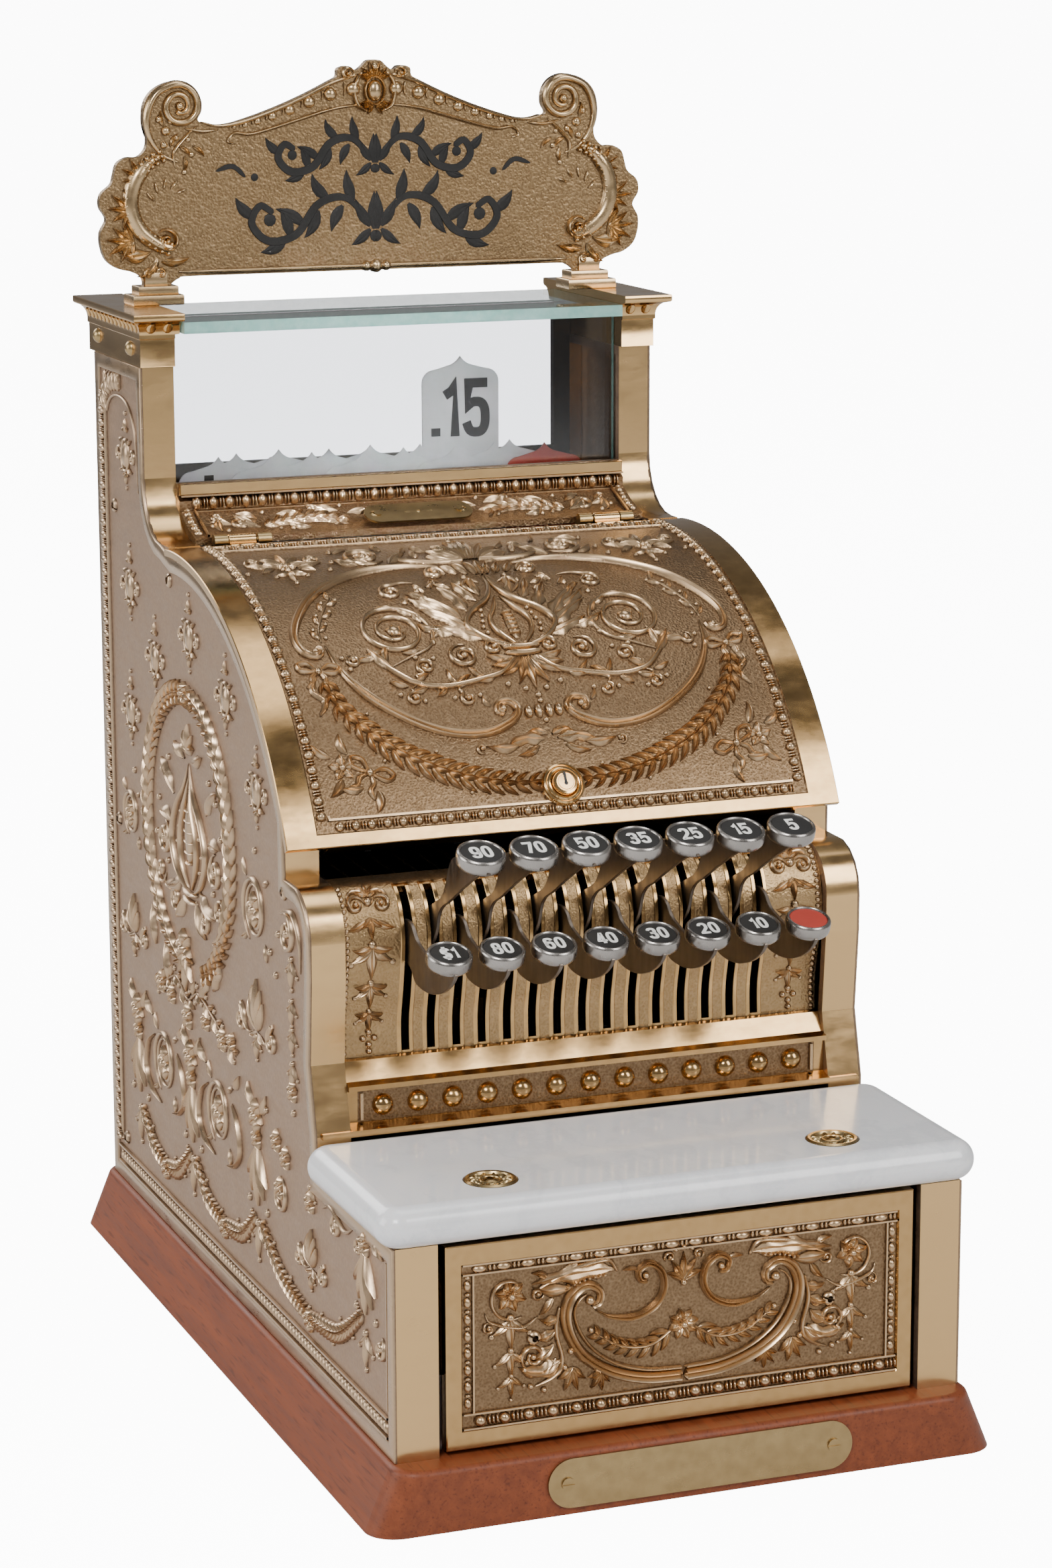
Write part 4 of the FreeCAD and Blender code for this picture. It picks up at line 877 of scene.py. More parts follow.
def lid_ornament(p):
    """One half of the lid's pattern; the other half is its mirror image."""
    # oval frame of two C-scrolls
    ridge(p, [(16, 147), (30, 149.5), (48, 147), (64, 140), (79, 128), (90, 112), (94.5, 100),
              (93, 91), (88, 88.5), (85.5, 91.5), (88, 93.5)], 4.2, 1.8, (0.4, 0.7), DOUBLE)
    dome(p, 88, 91.3, 1.5, height=1.7)
    ridge(p, [(83, 95), (80.5, 80), (73, 66), (60, 54), (44, 45.5), (28, 43.5), (16, 47.5),
              (11, 53), (13.5, 57.5), (18.5, 57), (19.5, 53), (16.5, 52)], 4.2, 1.8,
          (0.3, 0.7), DOUBLE)
    dome(p, 17, 54.3, 1.6, height=1.7)
    leaf(p, 22, 56, 6, 3, 40, 60)
    # scrolls tied at the top of the oval
    for k, (u, angle) in enumerate(((2.5, 86), (6.5, 76), (11, 64), (16, 50))):
        leaf(p, u, 138.5 + k * 0.5, 11 - k, 4.2, angle, -20, 1.7)
    scroll(p, 20.5, 141, 4.6, 1.2, 150, -1, 2.2, 1.7)
    leaf(p, 5, 150, 16, 4, 22, 30, 1.4)
    # crest above the oval
    for k, angle in enumerate((90, 70, 50, 30)):
        leaf(p, 1.5 + k, 154, 23 - 3 * k, 6.2, angle, -16, 1.8, 1)
    ridge(p, [(3, 153), (14, 151.5), (26, 154), (34, 160)], 2.2, 1.4, (0.9, 0.4))
    scroll(p, 45, 164, 9.5, 1.5, 215, 1, 2.2, 1.5)
    leaf(p, 36, 154, 14, 5, 120, 30, 1.4, 1)
    leaf(p, 50, 155, 11, 4, 20, 50, 1.3)
    rosette(p, 45, 164, 4, 5)
    beads(p, ((25, 169), (30, 163), (57, 173), (22, 161), (60, 160)), 1.2, 1.1)
    leaves(p, ((22, 160, 75), (28, 164, 110), (34, 172, 60), (56, 172, 140), (16, 166, 40)),
           8.5, 3.2, 30, 1.3)
    # corner fleuron
    fan(p, 81, 158, 15, 90, 130, 5, 0.32, 1.4)
    for side in (-1, 1):
        fan(p, 81 + side * 5, 157, 12, 90 - side * 72, 80, 3, 0.34)
        dome(p, 81 + side * 18, 152, 1.3, height=1)
        scroll(p, 81 + side * 12.5, 164, 4, 1.2, 270, side, 1.5)
    husk(p, 81, 153, 11, -90)
    rosette(p, 81, 157, 4.2, 6)
    # pod with its ribs, tie and fan
    ridge(p, [(3, 86), (13, 91), (19.5, 100), (15, 109), (6, 117), (1.4, 127), (0.6, 137)],
          2.9, 2.1, (0.7, 0.3))
    ridge(p, [(1.6, 87), (7.5, 95), (8.4, 103), (4.4, 111), (0.9, 120)], 2.3, 2.0, (0.6, 0.3))
    for k in range(5):
        dome(p, 12.6 - 0.8 * abs(k - 1), 95.5 + 3.6 * k, 1.1, height=1.2)
    scroll(p, 12, 86.5, 4.6, 1.3, 200, -1, 2, 1.6)
    scroll(p, 26, 83, 6.8, 1.5, 110, -1, 2.1, 1.6)
    for k, angle in enumerate((-82, -60, -38, -14)):
        leaf(p, 1.2 + 1.4 * k, 80.5, 15.5 - 1.3 * k, 4.4, angle, 30 + 8 * k, 1.8)
    dome(p, 4.5, 63.5, 1.4, height=1.4)
    dome(p, 11.5, 66.5, 1.4, height=1.4)
    # long stem with its twigs
    ridge(p, [(5, 80), (12, 73), (24, 69.5), (38, 67.5), (50, 70), (58, 77), (66, 87.5)],
          2.6, 1.8, (0.8, 0.6))
    leaf(p, 58, 78, 15, 5, 48, 20, 1.8)
    leaf(p, 63, 85, 10, 4, 10, -50, 1.5)
    leaf(p, 60, 82, 11, 4, 92, 25, 1.5)
    scroll(p, 73.5, 84.5, 3.4, 1.2, 90, -1, 1.7)
    scroll(p, 44, 78.5, 4.2, 1.4, -60, 1, 1.7, 1.4, [(47, 71), (49.5, 74)])
    scroll(p, 30.5, 60.5, 3.2, 1.2, 60, -1, 1.7, 1.4, [(27, 68.5), (33, 66)])
    scroll(p, 53, 62.5, 3.2, 1.2, 100, -1, 1.7, 1.4, [(49, 70), (53, 67.5)])
    for u, v, a, size in ((16, 71, -30, 8), (20, 70, 35, 9), (34, 68, 140, 9), (33, 68, 60, 9),
                          (38, 67, -50, 7), (46, 68, -30, 9), (50, 71, 140, 7),
                          (54, 69, 10, 8)):
        leaf(p, u, v, size, 3.2, a, 25, 1.5)
    beads(p, ((36, 61.5), (25, 62), (58.5, 65), (49, 61), (78, 86.5), (76, 80), (47, 84),
              (39.5, 83)), 1.25, 1.2)
    # large C-scroll beside the pod
    scroll(p, 51.5, 100.5, 16.5, 2.1, -140, -1, 2.2, 1.5, [(60, 79), (50, 84)])
    rosette(p, 51.5, 100.5, 3.6, 5)
    leaves(p, ((40, 110, 20), (38, 105, 60), (44, 88, -20), (60, 89.5, -30),
               (36, 95, 130), (47, 116, -10)), 8, 3.4, 30, 1.3)
    # leaf sprays above
    for u, v, a, size, bend in ((14, 92, 22, 22, 10), (18, 98, 44, 24, -10),
                                (20, 104, 62, 24, -30), (16, 110, 78, 20, -25),
                                (26, 96, 12, 17, 30), (24, 108, 30, 20, 25),
                                (10, 117, 55, 16, 25), (7, 121, 78, 15, 20),
                                (30, 116, 70, 13, -50)):
        leaf(p, u, v, size, size * 0.3, a, bend, 1.7, 2)
    beads(p, ((37, 92), (41, 119), (24, 133), (13, 131), (33, 127), (9, 136), (19, 124),
              (44, 93.5)), 1.4, 1.2)
    scroll(p, 44.5, 127.5, 5.2, 1.4, 100, -1, 1.6, 1.3, [(32, 134), (38, 134.5)])
    ridge(p, [(8, 122), (12, 128), (9, 133), (4, 131)], 1.7, 1.4)
    leaves(p, ((26, 129, 95), (30, 126, 50), (28, 130, 140), (18, 128, 20)), 7, 2.8, 20, 1.3)
    # berried branch inside the frame's shoulder
    sprig(p, [(84, 96), (83, 104), (79.5, 112), (76, 119), (71, 127)], 6, 5.2, 1.3, 1.1)
    # garland, bow and ribbons
    garland(p, [(90, 77), (86, 62), (78, 50), (67, 39), (54, 31), (40, 25), (24, 21),
                (11, 20)], 11.5, 4.3, 2.2)
    bow(p, 90, 80, 9, 10)
    ridge(p, [(92, 78), (95, 70), (91, 64), (95, 57)], 3.2, 1.2, (0.7, 0.4), VEINED)
    bow(p, 80, 30, 10, 30)
    rosette(p, 91, 33, 6, 5)
    leaves(p, ((84, 24, -20), (92, 28, -70), (88, 39, 60), (78, 22, -100),
               (95, 38, 20)), 10, 4.6, 50, 1.5)
    # acanthus pair over the lock
    leaf(p, 3, 39, 17, 6.5, 10, -40, 2.0, 2)
    leaf(p, 14, 37, 15, 4.5, -18, 45, 1.7, 1)
    leaf(p, 6, 36, 11, 4, -40, 45, 1.6)
    scroll(p, 30.5, 36.5, 2.6, 1.0, -120, 1, 1.4)
    leaf(p, 1, 41, 9, 4, 32, -60, 1.8)


def build_lid():
    p = Piece(on_lid)
    us = both_ways(steps((0, 6.1, 6.1), (6.1, 106.4, 10), (107.0, 107.2, 0.2),
                         (107.2, 119.7, 4), (119.9, 120.25, 0.175)))
    vs = steps((0, 0.35, 0.175), (0.35, 5.3, 2.5), (5.9, LOCK_V - 6.1, 3),
               (LOCK_V - 6.1, LOCK_V + 6.1, 4), (LOCK_V + 6.1, 198.4, 3.6), (199.0, 204.6, 2.8),
               (204.8, LID_LENGTH, 0.2))
    p.sheet(us, vs, lid_height, 3.0,
            lambda u, v: not (abs(u) < 6.1 and abs(v - LOCK_V) < 6.1),
            lambda u, v: 1 if in_panel(u, v) else 0, 0.0)
    p.sheet(both_ways(steps((0, 101.6, 20), (101.8, 102, 0.2))), (0.0, 0.3, 2.7, 3.0),
            lambda u, v: -3.0 + 0 * u, 11.0)
    p.place = on_top(0)
    knuckle = 12.6
    for x in (-90.8, 78.2):
        turn = Matrix.Translation((x, 92, 336)) @ Matrix.Rotation(math.pi / 2, 4, "Y")
        p.turned(((0.01, 0), (2.35, 0), (2.75, 0.4), (2.75, knuckle - 0.4), (2.35, knuckle),
                  (0.01, knuckle)), turn, 24)
        p.slab([(x, 86), (x + knuckle, 86), (x + knuckle, 91), (x, 91)], 333.4, 335.2, 0.3)
    p.make("lid_cover", "lid", (polished, cast), ("lid_casting",))

    p = Piece()

    def ground(u, v, h):
        return on_lid(u, v, 1.25 * np.asarray(h) - SUNK)

    for _ in halves(p, ground):
        lid_ornament(p)
    p.place = ground
    for u in (-6.6, -2.3, 2.3, 6.6):
        dome(p, u, 52, 1.9, 3.8 - 0.1 * abs(u), 2.2)
    dome(p, 0, 47.5, 1.3, height=1.3)
    dome(p, 0, 57, 1.3, height=1.3)
    dome(p, 0, 100, 2.6, 10, 1.6)
    for k in range(6):
        ridge(p, [(-2.6, 94 + 2.6 * k), (0, 93.2 + 2.6 * k), (2.6, 94 + 2.6 * k)], 1.1, 2.3)
    for v in (82, 85.4):
        ridge(p, [(-8.5, v + 0.8), (0, v), (8.5, v + 0.8)], 2.6, 2.2, (0.6, 0.6))
    leaf(p, 0, 80, 17, 5, -90, 0, 2.0)
    leaf(p, 0, 138, 13, 4.4, 90, 0, 1.9)
    leaf(p, 0, 154, 24, 6.5, 90, 0, 2.0, 1)
    for v in (60, 181):
        dome(p, 0, v, 1.5, height=1.3)
    p.make("lid_ornament", "lid", (cast,))

    p = Piece(ground)
    for side in (-1, 1):
        bead_row(p, [(side * 103.7, 9.5), (side * 103.7, 100), (side * 103.7, 197)], 6.6, 2.1,
                 2.3, 2, 1.9)
        strip(p, (side * 100.6, 11.2), (side * 100.6, 184), 1.1, 0.9)
    bead_row(p, [(-100, 8.2), (0, 8.2), (100, 8.2)], 6.6, 2.1, 2.2, 2, 1.8)
    bead_row(p, [(-100, 192), (0, 192), (100, 192)], 6.6, 2.1, 3.4, 2, 1.8)
    for v in (11.2, 186, 197.6):
        strip(p, (-101, v), (101, v), 1.1, 0.9)
    p.make("lid_border", "lid", (cast,))


# ------------------------------------------------------------------ lock

def build_lock():
    out = Vector((0, -math.cos(LOCK_ANGLE), math.sin(LOCK_ANGLE)))
    right = Vector((1, 0, 0))
    turn = Matrix((right, out.cross(right), out)).transposed().to_4x4()
    axis = Matrix.Translation(Vector((0, LID_Y, LID_Z)) + out * LID_R) @ turn
    p = Piece()
    p.turned(((6.1, -14), (6.45, -14), (6.45, -0.6), (8.9, -0.6), (9, 0.4), (8.6, 1.0), (8.9, 1.4),
              (8.7, 2.1), (7.9, 2.6), (7.6, 2.2), (7.1, 2.9), (6.4, 3.2), (5.9, 3.0),
              (5.62, 2.6), (5.6, -14), (6.1, -14)), axis, 48)
    p.make("lock_ring", "lid", (polished,), ("lock_escutcheon",))
    p = Piece(on_matrix(axis))
    p.turned(((0.01, -17.5), (6.3, -17.5), (6.3, -15.6), (5.4, -15.5), (5.4, 3.4), (5.0, 4.2),
              (4.1, 4.4), (3.9, 4.1), (3.4, 4.1), (3.2, 4.4), (0.01, 4.45)), axis, 40)
    p.slab([(-3, 1), (3, 1), (3, 12.2), (0, 13.2), (-3, 12.2)], -17.4, -15.6, 0.3)
    p.look = 1
    p.slab([(-0.55, -0.2), (0.55, -0.2), (0.55, 4.2), (-0.55, 4.2)], 4.0, 4.52, 0.05)
    dome(Shift(p, 4.42), 0, -0.6, 0.9, height=0.1)
    p.make("lock_plug", "lock", (polished, black), ("lock_barrel",))


# ------------------------------------------------------------------ sides

def side_outline(inset):
    """Side casting's outline in (y, z), drawn in by inset."""
    i = inset
    lid_arc = LID_R - 3.4 - i
    points = [(-REAR_Y + i, 25.5 + i), (-REAR_Y + i, 110.7 - i), (-106 + i, 110.7 - i),
              (-106 + i, 128), (-99 + i, 155.5), (-102 + i, 190), (-102 + i, 205)]
    points += [(-82 - (20 - i) * math.cos(a), 205 + (20 - i) * math.sin(a))
               for a in np.radians((20, 40, 60, 80))]
    first = math.acos((LID_Y + 70 - i) / lid_arc)
    points.append((-70 + i, 225 - i))
    points += [(LID_Y - lid_arc * math.cos(a), LID_Z + lid_arc * math.sin(a))
               for a in np.linspace(first, math.radians(93), 22)]
    points.append((99, 335 - i))
    points += [(99 + (25 + i) * math.sin(a), 360 - (25 + i) * math.cos(a))
               for a in np.radians((15, 30, 45, 60, 75, 90))]
    points += [(POST_FACE + i, 408.5 - i), (REAR_Y - i, 408.5 - i), (REAR_Y - i, 25.5 + i)]
    return points


def medallion(p, u, v, radius, petals=6):
    """Ribbon ring round a flower."""
    scroll(p, u, v, radius, 1.15, -60, 1, 2.2, 1.3)
    ridge(p, oval(u, v, radius * 0.62, radius * 0.62, 14), 1.4, 1.0, loop=True)
    rosette(p, u, v, radius * 0.45, petals, 1.9)
    for angle in (45, 135, 225, 315):
        leaf(p, *polar(u, v, radius, angle), radius * 0.45, radius * 0.2, angle, 50, 1.2)


def drop_fan(p, u, v, size):
    """Gathered drapery: long ribs from a knot, with curls at the foot."""
    for k, angle in enumerate((-118, -104, -90, -76, -62)):
        leaf(p, u, v, size * (1 - 0.12 * abs(k - 2)), size * 0.2, angle, (k - 2) * 12, 2.0)
    for side in (-1, 1):
        dome(p, u + side * size * 0.45, v - size * 0.98, size * 0.07, height=1.2)
    rosette(p, u, v + size * 0.1, size * 0.2, 5, 1.8)


def shell_pod(p, u, v, size):
    """Pointed pod with curls either side of its foot."""
    for k, angle in enumerate((140, 115, 90, 65, 40)):
        leaf(p, u, v, size * (1 - 0.14 * abs(k - 2)), size * 0.22, angle, (2 - k) * -22, 2.0)
    dome(p, u, v + size * 0.42, size * 0.09, size * 0.34, 2.2)
    for side in (-1, 1):
        scroll(p, u + side * size * 0.95, v + size * 0.02, size * 0.27, 1.3, 90, side, 1.8,
               1.4, [(u + side * size * 0.2, v - size * 0.05), (u + side * size * 0.6,
                                                                v - size * 0.12)])
        leaf(p, u, v - 1, size * 0.5, size * 0.18, -90 + side * 60, side * 40)
    husk(p, u, v - 3, size * 0.4, -90)


def side_ornament(p):
    """Whole field of one side casting, (u, v) = (depth, height)."""
    ridge(p, side_outline(3.4), 6.6, 0.9, form=FLAT, loop=True, straight=True)
    # border of beads up the rear and over the post's arched head
    rear = [(190, 42), (190, 200), (190, 372), (187, 388), (176, 396.5), (160, 398.5)]
    bead_row(p, rear, 5.6, 1.95, 4.5, 2, 1.7)
    ridge(p, [(184, 44), (184, 372), (181.5, 384), (173, 390.5), (158, 392), (145, 388),
              (137, 378), (134.5, 362), (134, 352)], 1.6, 1.1, (1, 0.5))
    ridge(p, [(195.8, 42), (195.8, 372), (192, 391), (178, 402), (158, 404)], 1.3, 0.9,
          (1, 0.5))
    rope_row(p, [(186, 36.8), (0, 36.8), (-190, 36.8)], 3.9, 2.9, 1.3)
    for z in (33.0, 40.8):
        strip(p, (190, z), (-190.5, z), 1.1, 1.0)
    strip(p, (-190.5, 44), (-190.5, 103), 1.0, 0.8)
    # scattered fleurons
    for u, v in ((152, 367), (150, 309), (153, 252), (112, 283), (59, 301), (7, 284),
                 (-34, 253)):
        fleuron(p, u, v, 0.92)
    # laurel wreath round the tall pod
    wreath(p, 66, 214, 62, 61, 13, 2.2)
    rosette(p, 66, 276, 5, 6, 2.2)
    pod(p, 64, 217, 50, 58, 6)
    dome(p, 64, 215, 4.5, 15, 1.6)
    fan(p, 64, 250, 13, 90, 110, 5, 0.36, 1.8)
    for side in (-1, 1):
        leaf(p, 64 + side * 6, 247, 15, 5, 90 - side * 78, side * 18, 1.8, 1)
        leaf(p, 64 + side * 24, 228, 22, 7, 90 - side * 40, side * -30, 1.8, 2)
        leaf(p, 64 + side * 27, 215, 18, 6, 90 - side * 70, side * -30, 1.8, 1)
        scroll(p, 64 + side * 38, 206, 8, 1.5, 90, side, 2.2, 1.6)
        leaf(p, 64 + side * 14, 192, 26, 7, -90 + side * 58, side * 40, 2.0, 2)
        leaf(p, 64 + side * 8, 187, 20, 6, -90 + side * 28, side * 40, 2.0, 1)
        scroll(p, 64 + side * 22, 182, 6, 1.3, 200 if side > 0 else -20, side, 2, 1.5)
        scroll(p, 64 + side * 44, 190, 6, 1.3, 180, side, 1.8, 1.5)
        for du, dv in ((46, 222), (40, 236), (30, 243), (34, 196), (50, 206)):
            dome(p, 64 + side * du, dv, 1.5, height=1.4)
    for v in (186, 189.6):
        ridge(p, [(54, v), (64, v - 1), (74, v)], 2.4, 2.0, (0.6, 0.6))
    rosette(p, 74, 162, 9, 6, 2.4)
    fan(p, 74, 160, 17, -90, 130, 5, 0.3, 1.9)
    # leafy festoon under the wreath
    for u, v, size in ((112, 138, 7), (96, 136, 6), (72, 132, 8), (44, 137, 6), (20, 135, 7),
                       (6, 138, 5)):
        rosette(p, u, v, size * 0.8, 5, 1.8)
    sprig(p, [(124, 133), (104, 141), (88, 146), (72, 140), (56, 146), (36, 142), (2, 132)],
          8, 6, 1.5, 1.3)
    leaves(p, ((120, 178, 200), (14, 180, -30), (126, 170, 240), (22, 168, -70),
               (40, 158, -60), (106, 158, -120)), 18, 6, 30, 1.9, 2)
    # columns of motifs fore and aft
    medallion(p, 156, 205, 13)
    shell_pod(p, 156, 150, 18)
    medallion(p, -29, 203, 17)
    shell_pod(p, -29, 152, 22)
    scroll(p, -72, 203, 9, 1.4, 60, 1, 2.2, 1.5, [(-88, 190), (-88, 204), (-80, 213)])
    for v, size in ((193, 11), (176, 9), (164, 9), (150, 10)):
        husk(p, -77, v, size, -90)
    rosette(p, -77, 139, 5, 5, 1.7)
    beads(p, ((-77, 130), (-60, 200), (-56, 182), (-49, 190), (150, 226), (-30, 228)), 1.6, 1.3)
    husk(p, -98, 105, 9, -90)
    # lower frieze
    for u in (110, 27):
        medallion(p, u, 101, 17.5)
        for side in (-1, 1):
            ridge(p, [(u + side * 17, 110), (u + side * 26, 104), (u + side * 30, 92),
                      (u + side * 22, 84), (u + side * 8, 80)], 2.2, 1.4, (0.5, 0.4), DOUBLE)
            leaf(p, u + side * 20, 118, 12, 4.5, 90 - side * 70, side * 40, 1.6, 1)
    for u in (152, 68, -27):
        rosette(p, u, 115, 7.5, 6, 2.2)
        drop_fan(p, u, 103, 27)
        husk(p, u, 68, 14, -90)
        for side in (-1, 1):
            leaf(p, u + side * 4, 117, 13, 4.5, 90 - side * 62, side * 50, 1.6, 1)
            dome(p, u + side * 13, 121, 1.5, height=1.3)
    for u, v in ((-54, 112), (-66, 108), (-58, 93)):
        rosette(p, u, v, 5.2, 5, 1.8)
    scroll(p, -58, 90, 8, 1.3, 100, 1, 2, 1.4)
    for a, b in ((150, 70), (66, -25)):
        middle = (a + b) / 2
        garland(p, [(a, 72), (a - 20, 58), (middle, 53)], 8.5, 4, 1.8)
        garland(p, [(b, 72), (b + 20, 58), (middle, 53)], 8.5, 4, 1.8)
        rosette(p, middle, 52, 5, 6, 2)
    garland(p, [(-30, 72), (-60, 56), (-96, 50)], 8.5, 4, 1.8)
    garland(p, [(-163, 74), (-132, 56), (-96, 50)], 8.5, 4, 1.8)
    rosette(p, -96, 49, 5, 6, 2)
    shell_pod(p, -98, 72, 16)
    rosette(p, -98, 99, 5, 5, 1.8)
    for u in (-130, -158):
        scroll(p, u, 99, 5, 1.3, 90 if u > -140 else -90, -1, 1.8, 1.4)
    ridge(p, [(-112, 101), (-124, 105), (-140, 100), (-150, 104)], 2, 1.3)
    drop_fan(p, -165, 100, 26)
    husk(p, -165, 66, 13, -90)
    scroll(p, -183, 66, 5, 1.3, 90, 1, 1.8, 1.4)
    leaf(p, -172, 104, 14, 5, 170, 40, 1.5, 1)
    # panel screws
    for u, v in ((178, 198), (178, 47), (173, 342), (88, 321), (-68, 219)):
        screw_head(p, u, v, 3.2, 35 + u)


def screw_head(p, u, v, radius, angle, rise=1.1):
    """Oval head with its slot cut across."""
    a = math.radians(angle)
    c, s = math.cos(a), math.sin(a)
    half = radius * 0.14
    for side in (-1, 1):
        arc = np.linspace(math.asin(half / radius), math.pi - math.asin(half / radius), 12)
        rings = np.array(((1, -0.15), (0.97, 0.45), (0.75, 0.85), (0.4, 1)))
        du = np.cos(arc) * radius * rings[:, :1]
        dv = (half + (np.sin(arc) * radius - half) * rings[:, :1]) * side
        p.patch(u + du * c - dv * s, v + du * s + dv * c, rings[:, 1:] * rise + 0 * du)
        line = np.linspace(-1, 1, 8)
        du = np.stack([line * radius * 0.98] * 2)
        dv = np.stack([np.full(8, half * side), np.full(8, half * side * 0.9)])
        wall = np.stack([rise * np.clip(1.05 - np.abs(line) ** 3, 0.3, 1), np.full(8, 0.15)])
        p.patch(u + du * c - dv * s, v + du * s + dv * c, wall)
    du, dv = np.linspace(-1, 1, 6) * radius, np.array([[-half], [half]])
    # The slot's floor takes relief 0.02, which the brass looks fill with painted crevice shade.
    p.patch(u + du * c - dv * s, v + du * s + dv * c, 0.16 + 0 * du, 0.02)


def build_sides():
    for name, sign in SIDES:
        p = Piece(raised(on_side(sign), 1.4))
        side_ornament(p)
        p.make(f"{name}_side_ornament", "cabinet", (side_relief,), sharp=50)


build_lid()
build_lock()
build_sides()


# ------------------------------------------------------------------ drawer front

def build_drawer():
    x_half, z_low, z_high, sunk = 98.0, 27.4, 109.1, 1.3
    inner_half, inner_low, inner_high = 91.8, 34.6, 101.4
    p = Piece(on_front(-REAR_Y))

    def height(u, v):
        inside = np.minimum(np.minimum(inner_half - np.abs(u), v - inner_low), inner_high - v)
        rim = np.minimum(np.minimum(x_half - np.abs(u), v - z_low), z_high - v)
        return -sunk * np.clip(inside / 0.8, 0, 1) - 0.4 * np.clip(1 - rim / 0.4, 0, 1)

    p.sheet(both_ways(steps((0, 91.0, 13), (91.8, 97.6, 3), (97.8, 98, 0.2))),
            steps((27.4, 27.6, 0.2), (27.8, 34.6, 3.4), (35.4, 100.6, 13), (101.4, 108.7, 3.6),
                  (108.9, 109.1, 0.2)), height, 4.7,
            look=lambda u, v: 1 if abs(u) < inner_half - 0.8 and inner_low + 0.8 < v
            < inner_high - 0.8 else 0, proud=0.0)
    p.make("drawer_plate", "drawer", (polished, cast), ("drawer_front",),
           sharp=25)

    p = Piece()
    base = raised(on_front(-REAR_Y + sunk), 1.35)
    for _ in halves(p, base):
        drawer_ornament(p)
    p.place = base
    fan(p, 0, 83.5, 12, 90, 95, 5, 0.3, 1.7)
    dome(p, 0, 83, 1.5, height=1.6)
    for u, v in ((0, 98), (-3.4, 97), (3.4, 97)):
        dome(p, u, v - 0.5, 0.9, height=1.3)
    rosette(p, 0, 66, 6.5, 8, 1.8)
    for side in (-1, 1):
        stems = [(side * 4, 65), (side * 14, 59.5), (side * 26, 60.5), (side * 37, 67)]
        ridge(p, stems, 1.4, 1.3, (0.8, 0.3))
        for k, (u, v, heading) in enumerate(along(stems, 4.6)):
            for turn in (-42, 42):
                leaf(p, u, v, 8.4 - 0.45 * k, 3.1, heading + turn, -turn * 0.6, 1.6)
        dome(p, side * 38.5, 68.5, 1.2, height=1.3)
    bead_row(p, [(-89, 38.1), (89, 38.1)], 9.9, 2.5, 2.5, 3, 2.2)
    bead_row(p, [(-89, 99.0), (89, 99.0)], 9.9, 3.2, 1.7, 2, 1.5)
    for v in (35.3, 41.2, 97.1, 100.9):
        strip(p, (-91, v), (91, v), 0.8, 1.0)
    for side in (-1, 1):
        bead_row(p, [(side * 89, 42), (side * 89, 96)], 6.6, 2.3, 1.5, 1, 1.4)
        strip(p, (side * 86.8, 41), (side * 86.8, 97), 0.8, 0.9)
        screw_head(p, side * 62, 68.5, 2.9, -35 if side < 0 else -20, 1.5)
    p.make("drawer_ornament", "drawer", (cast,))


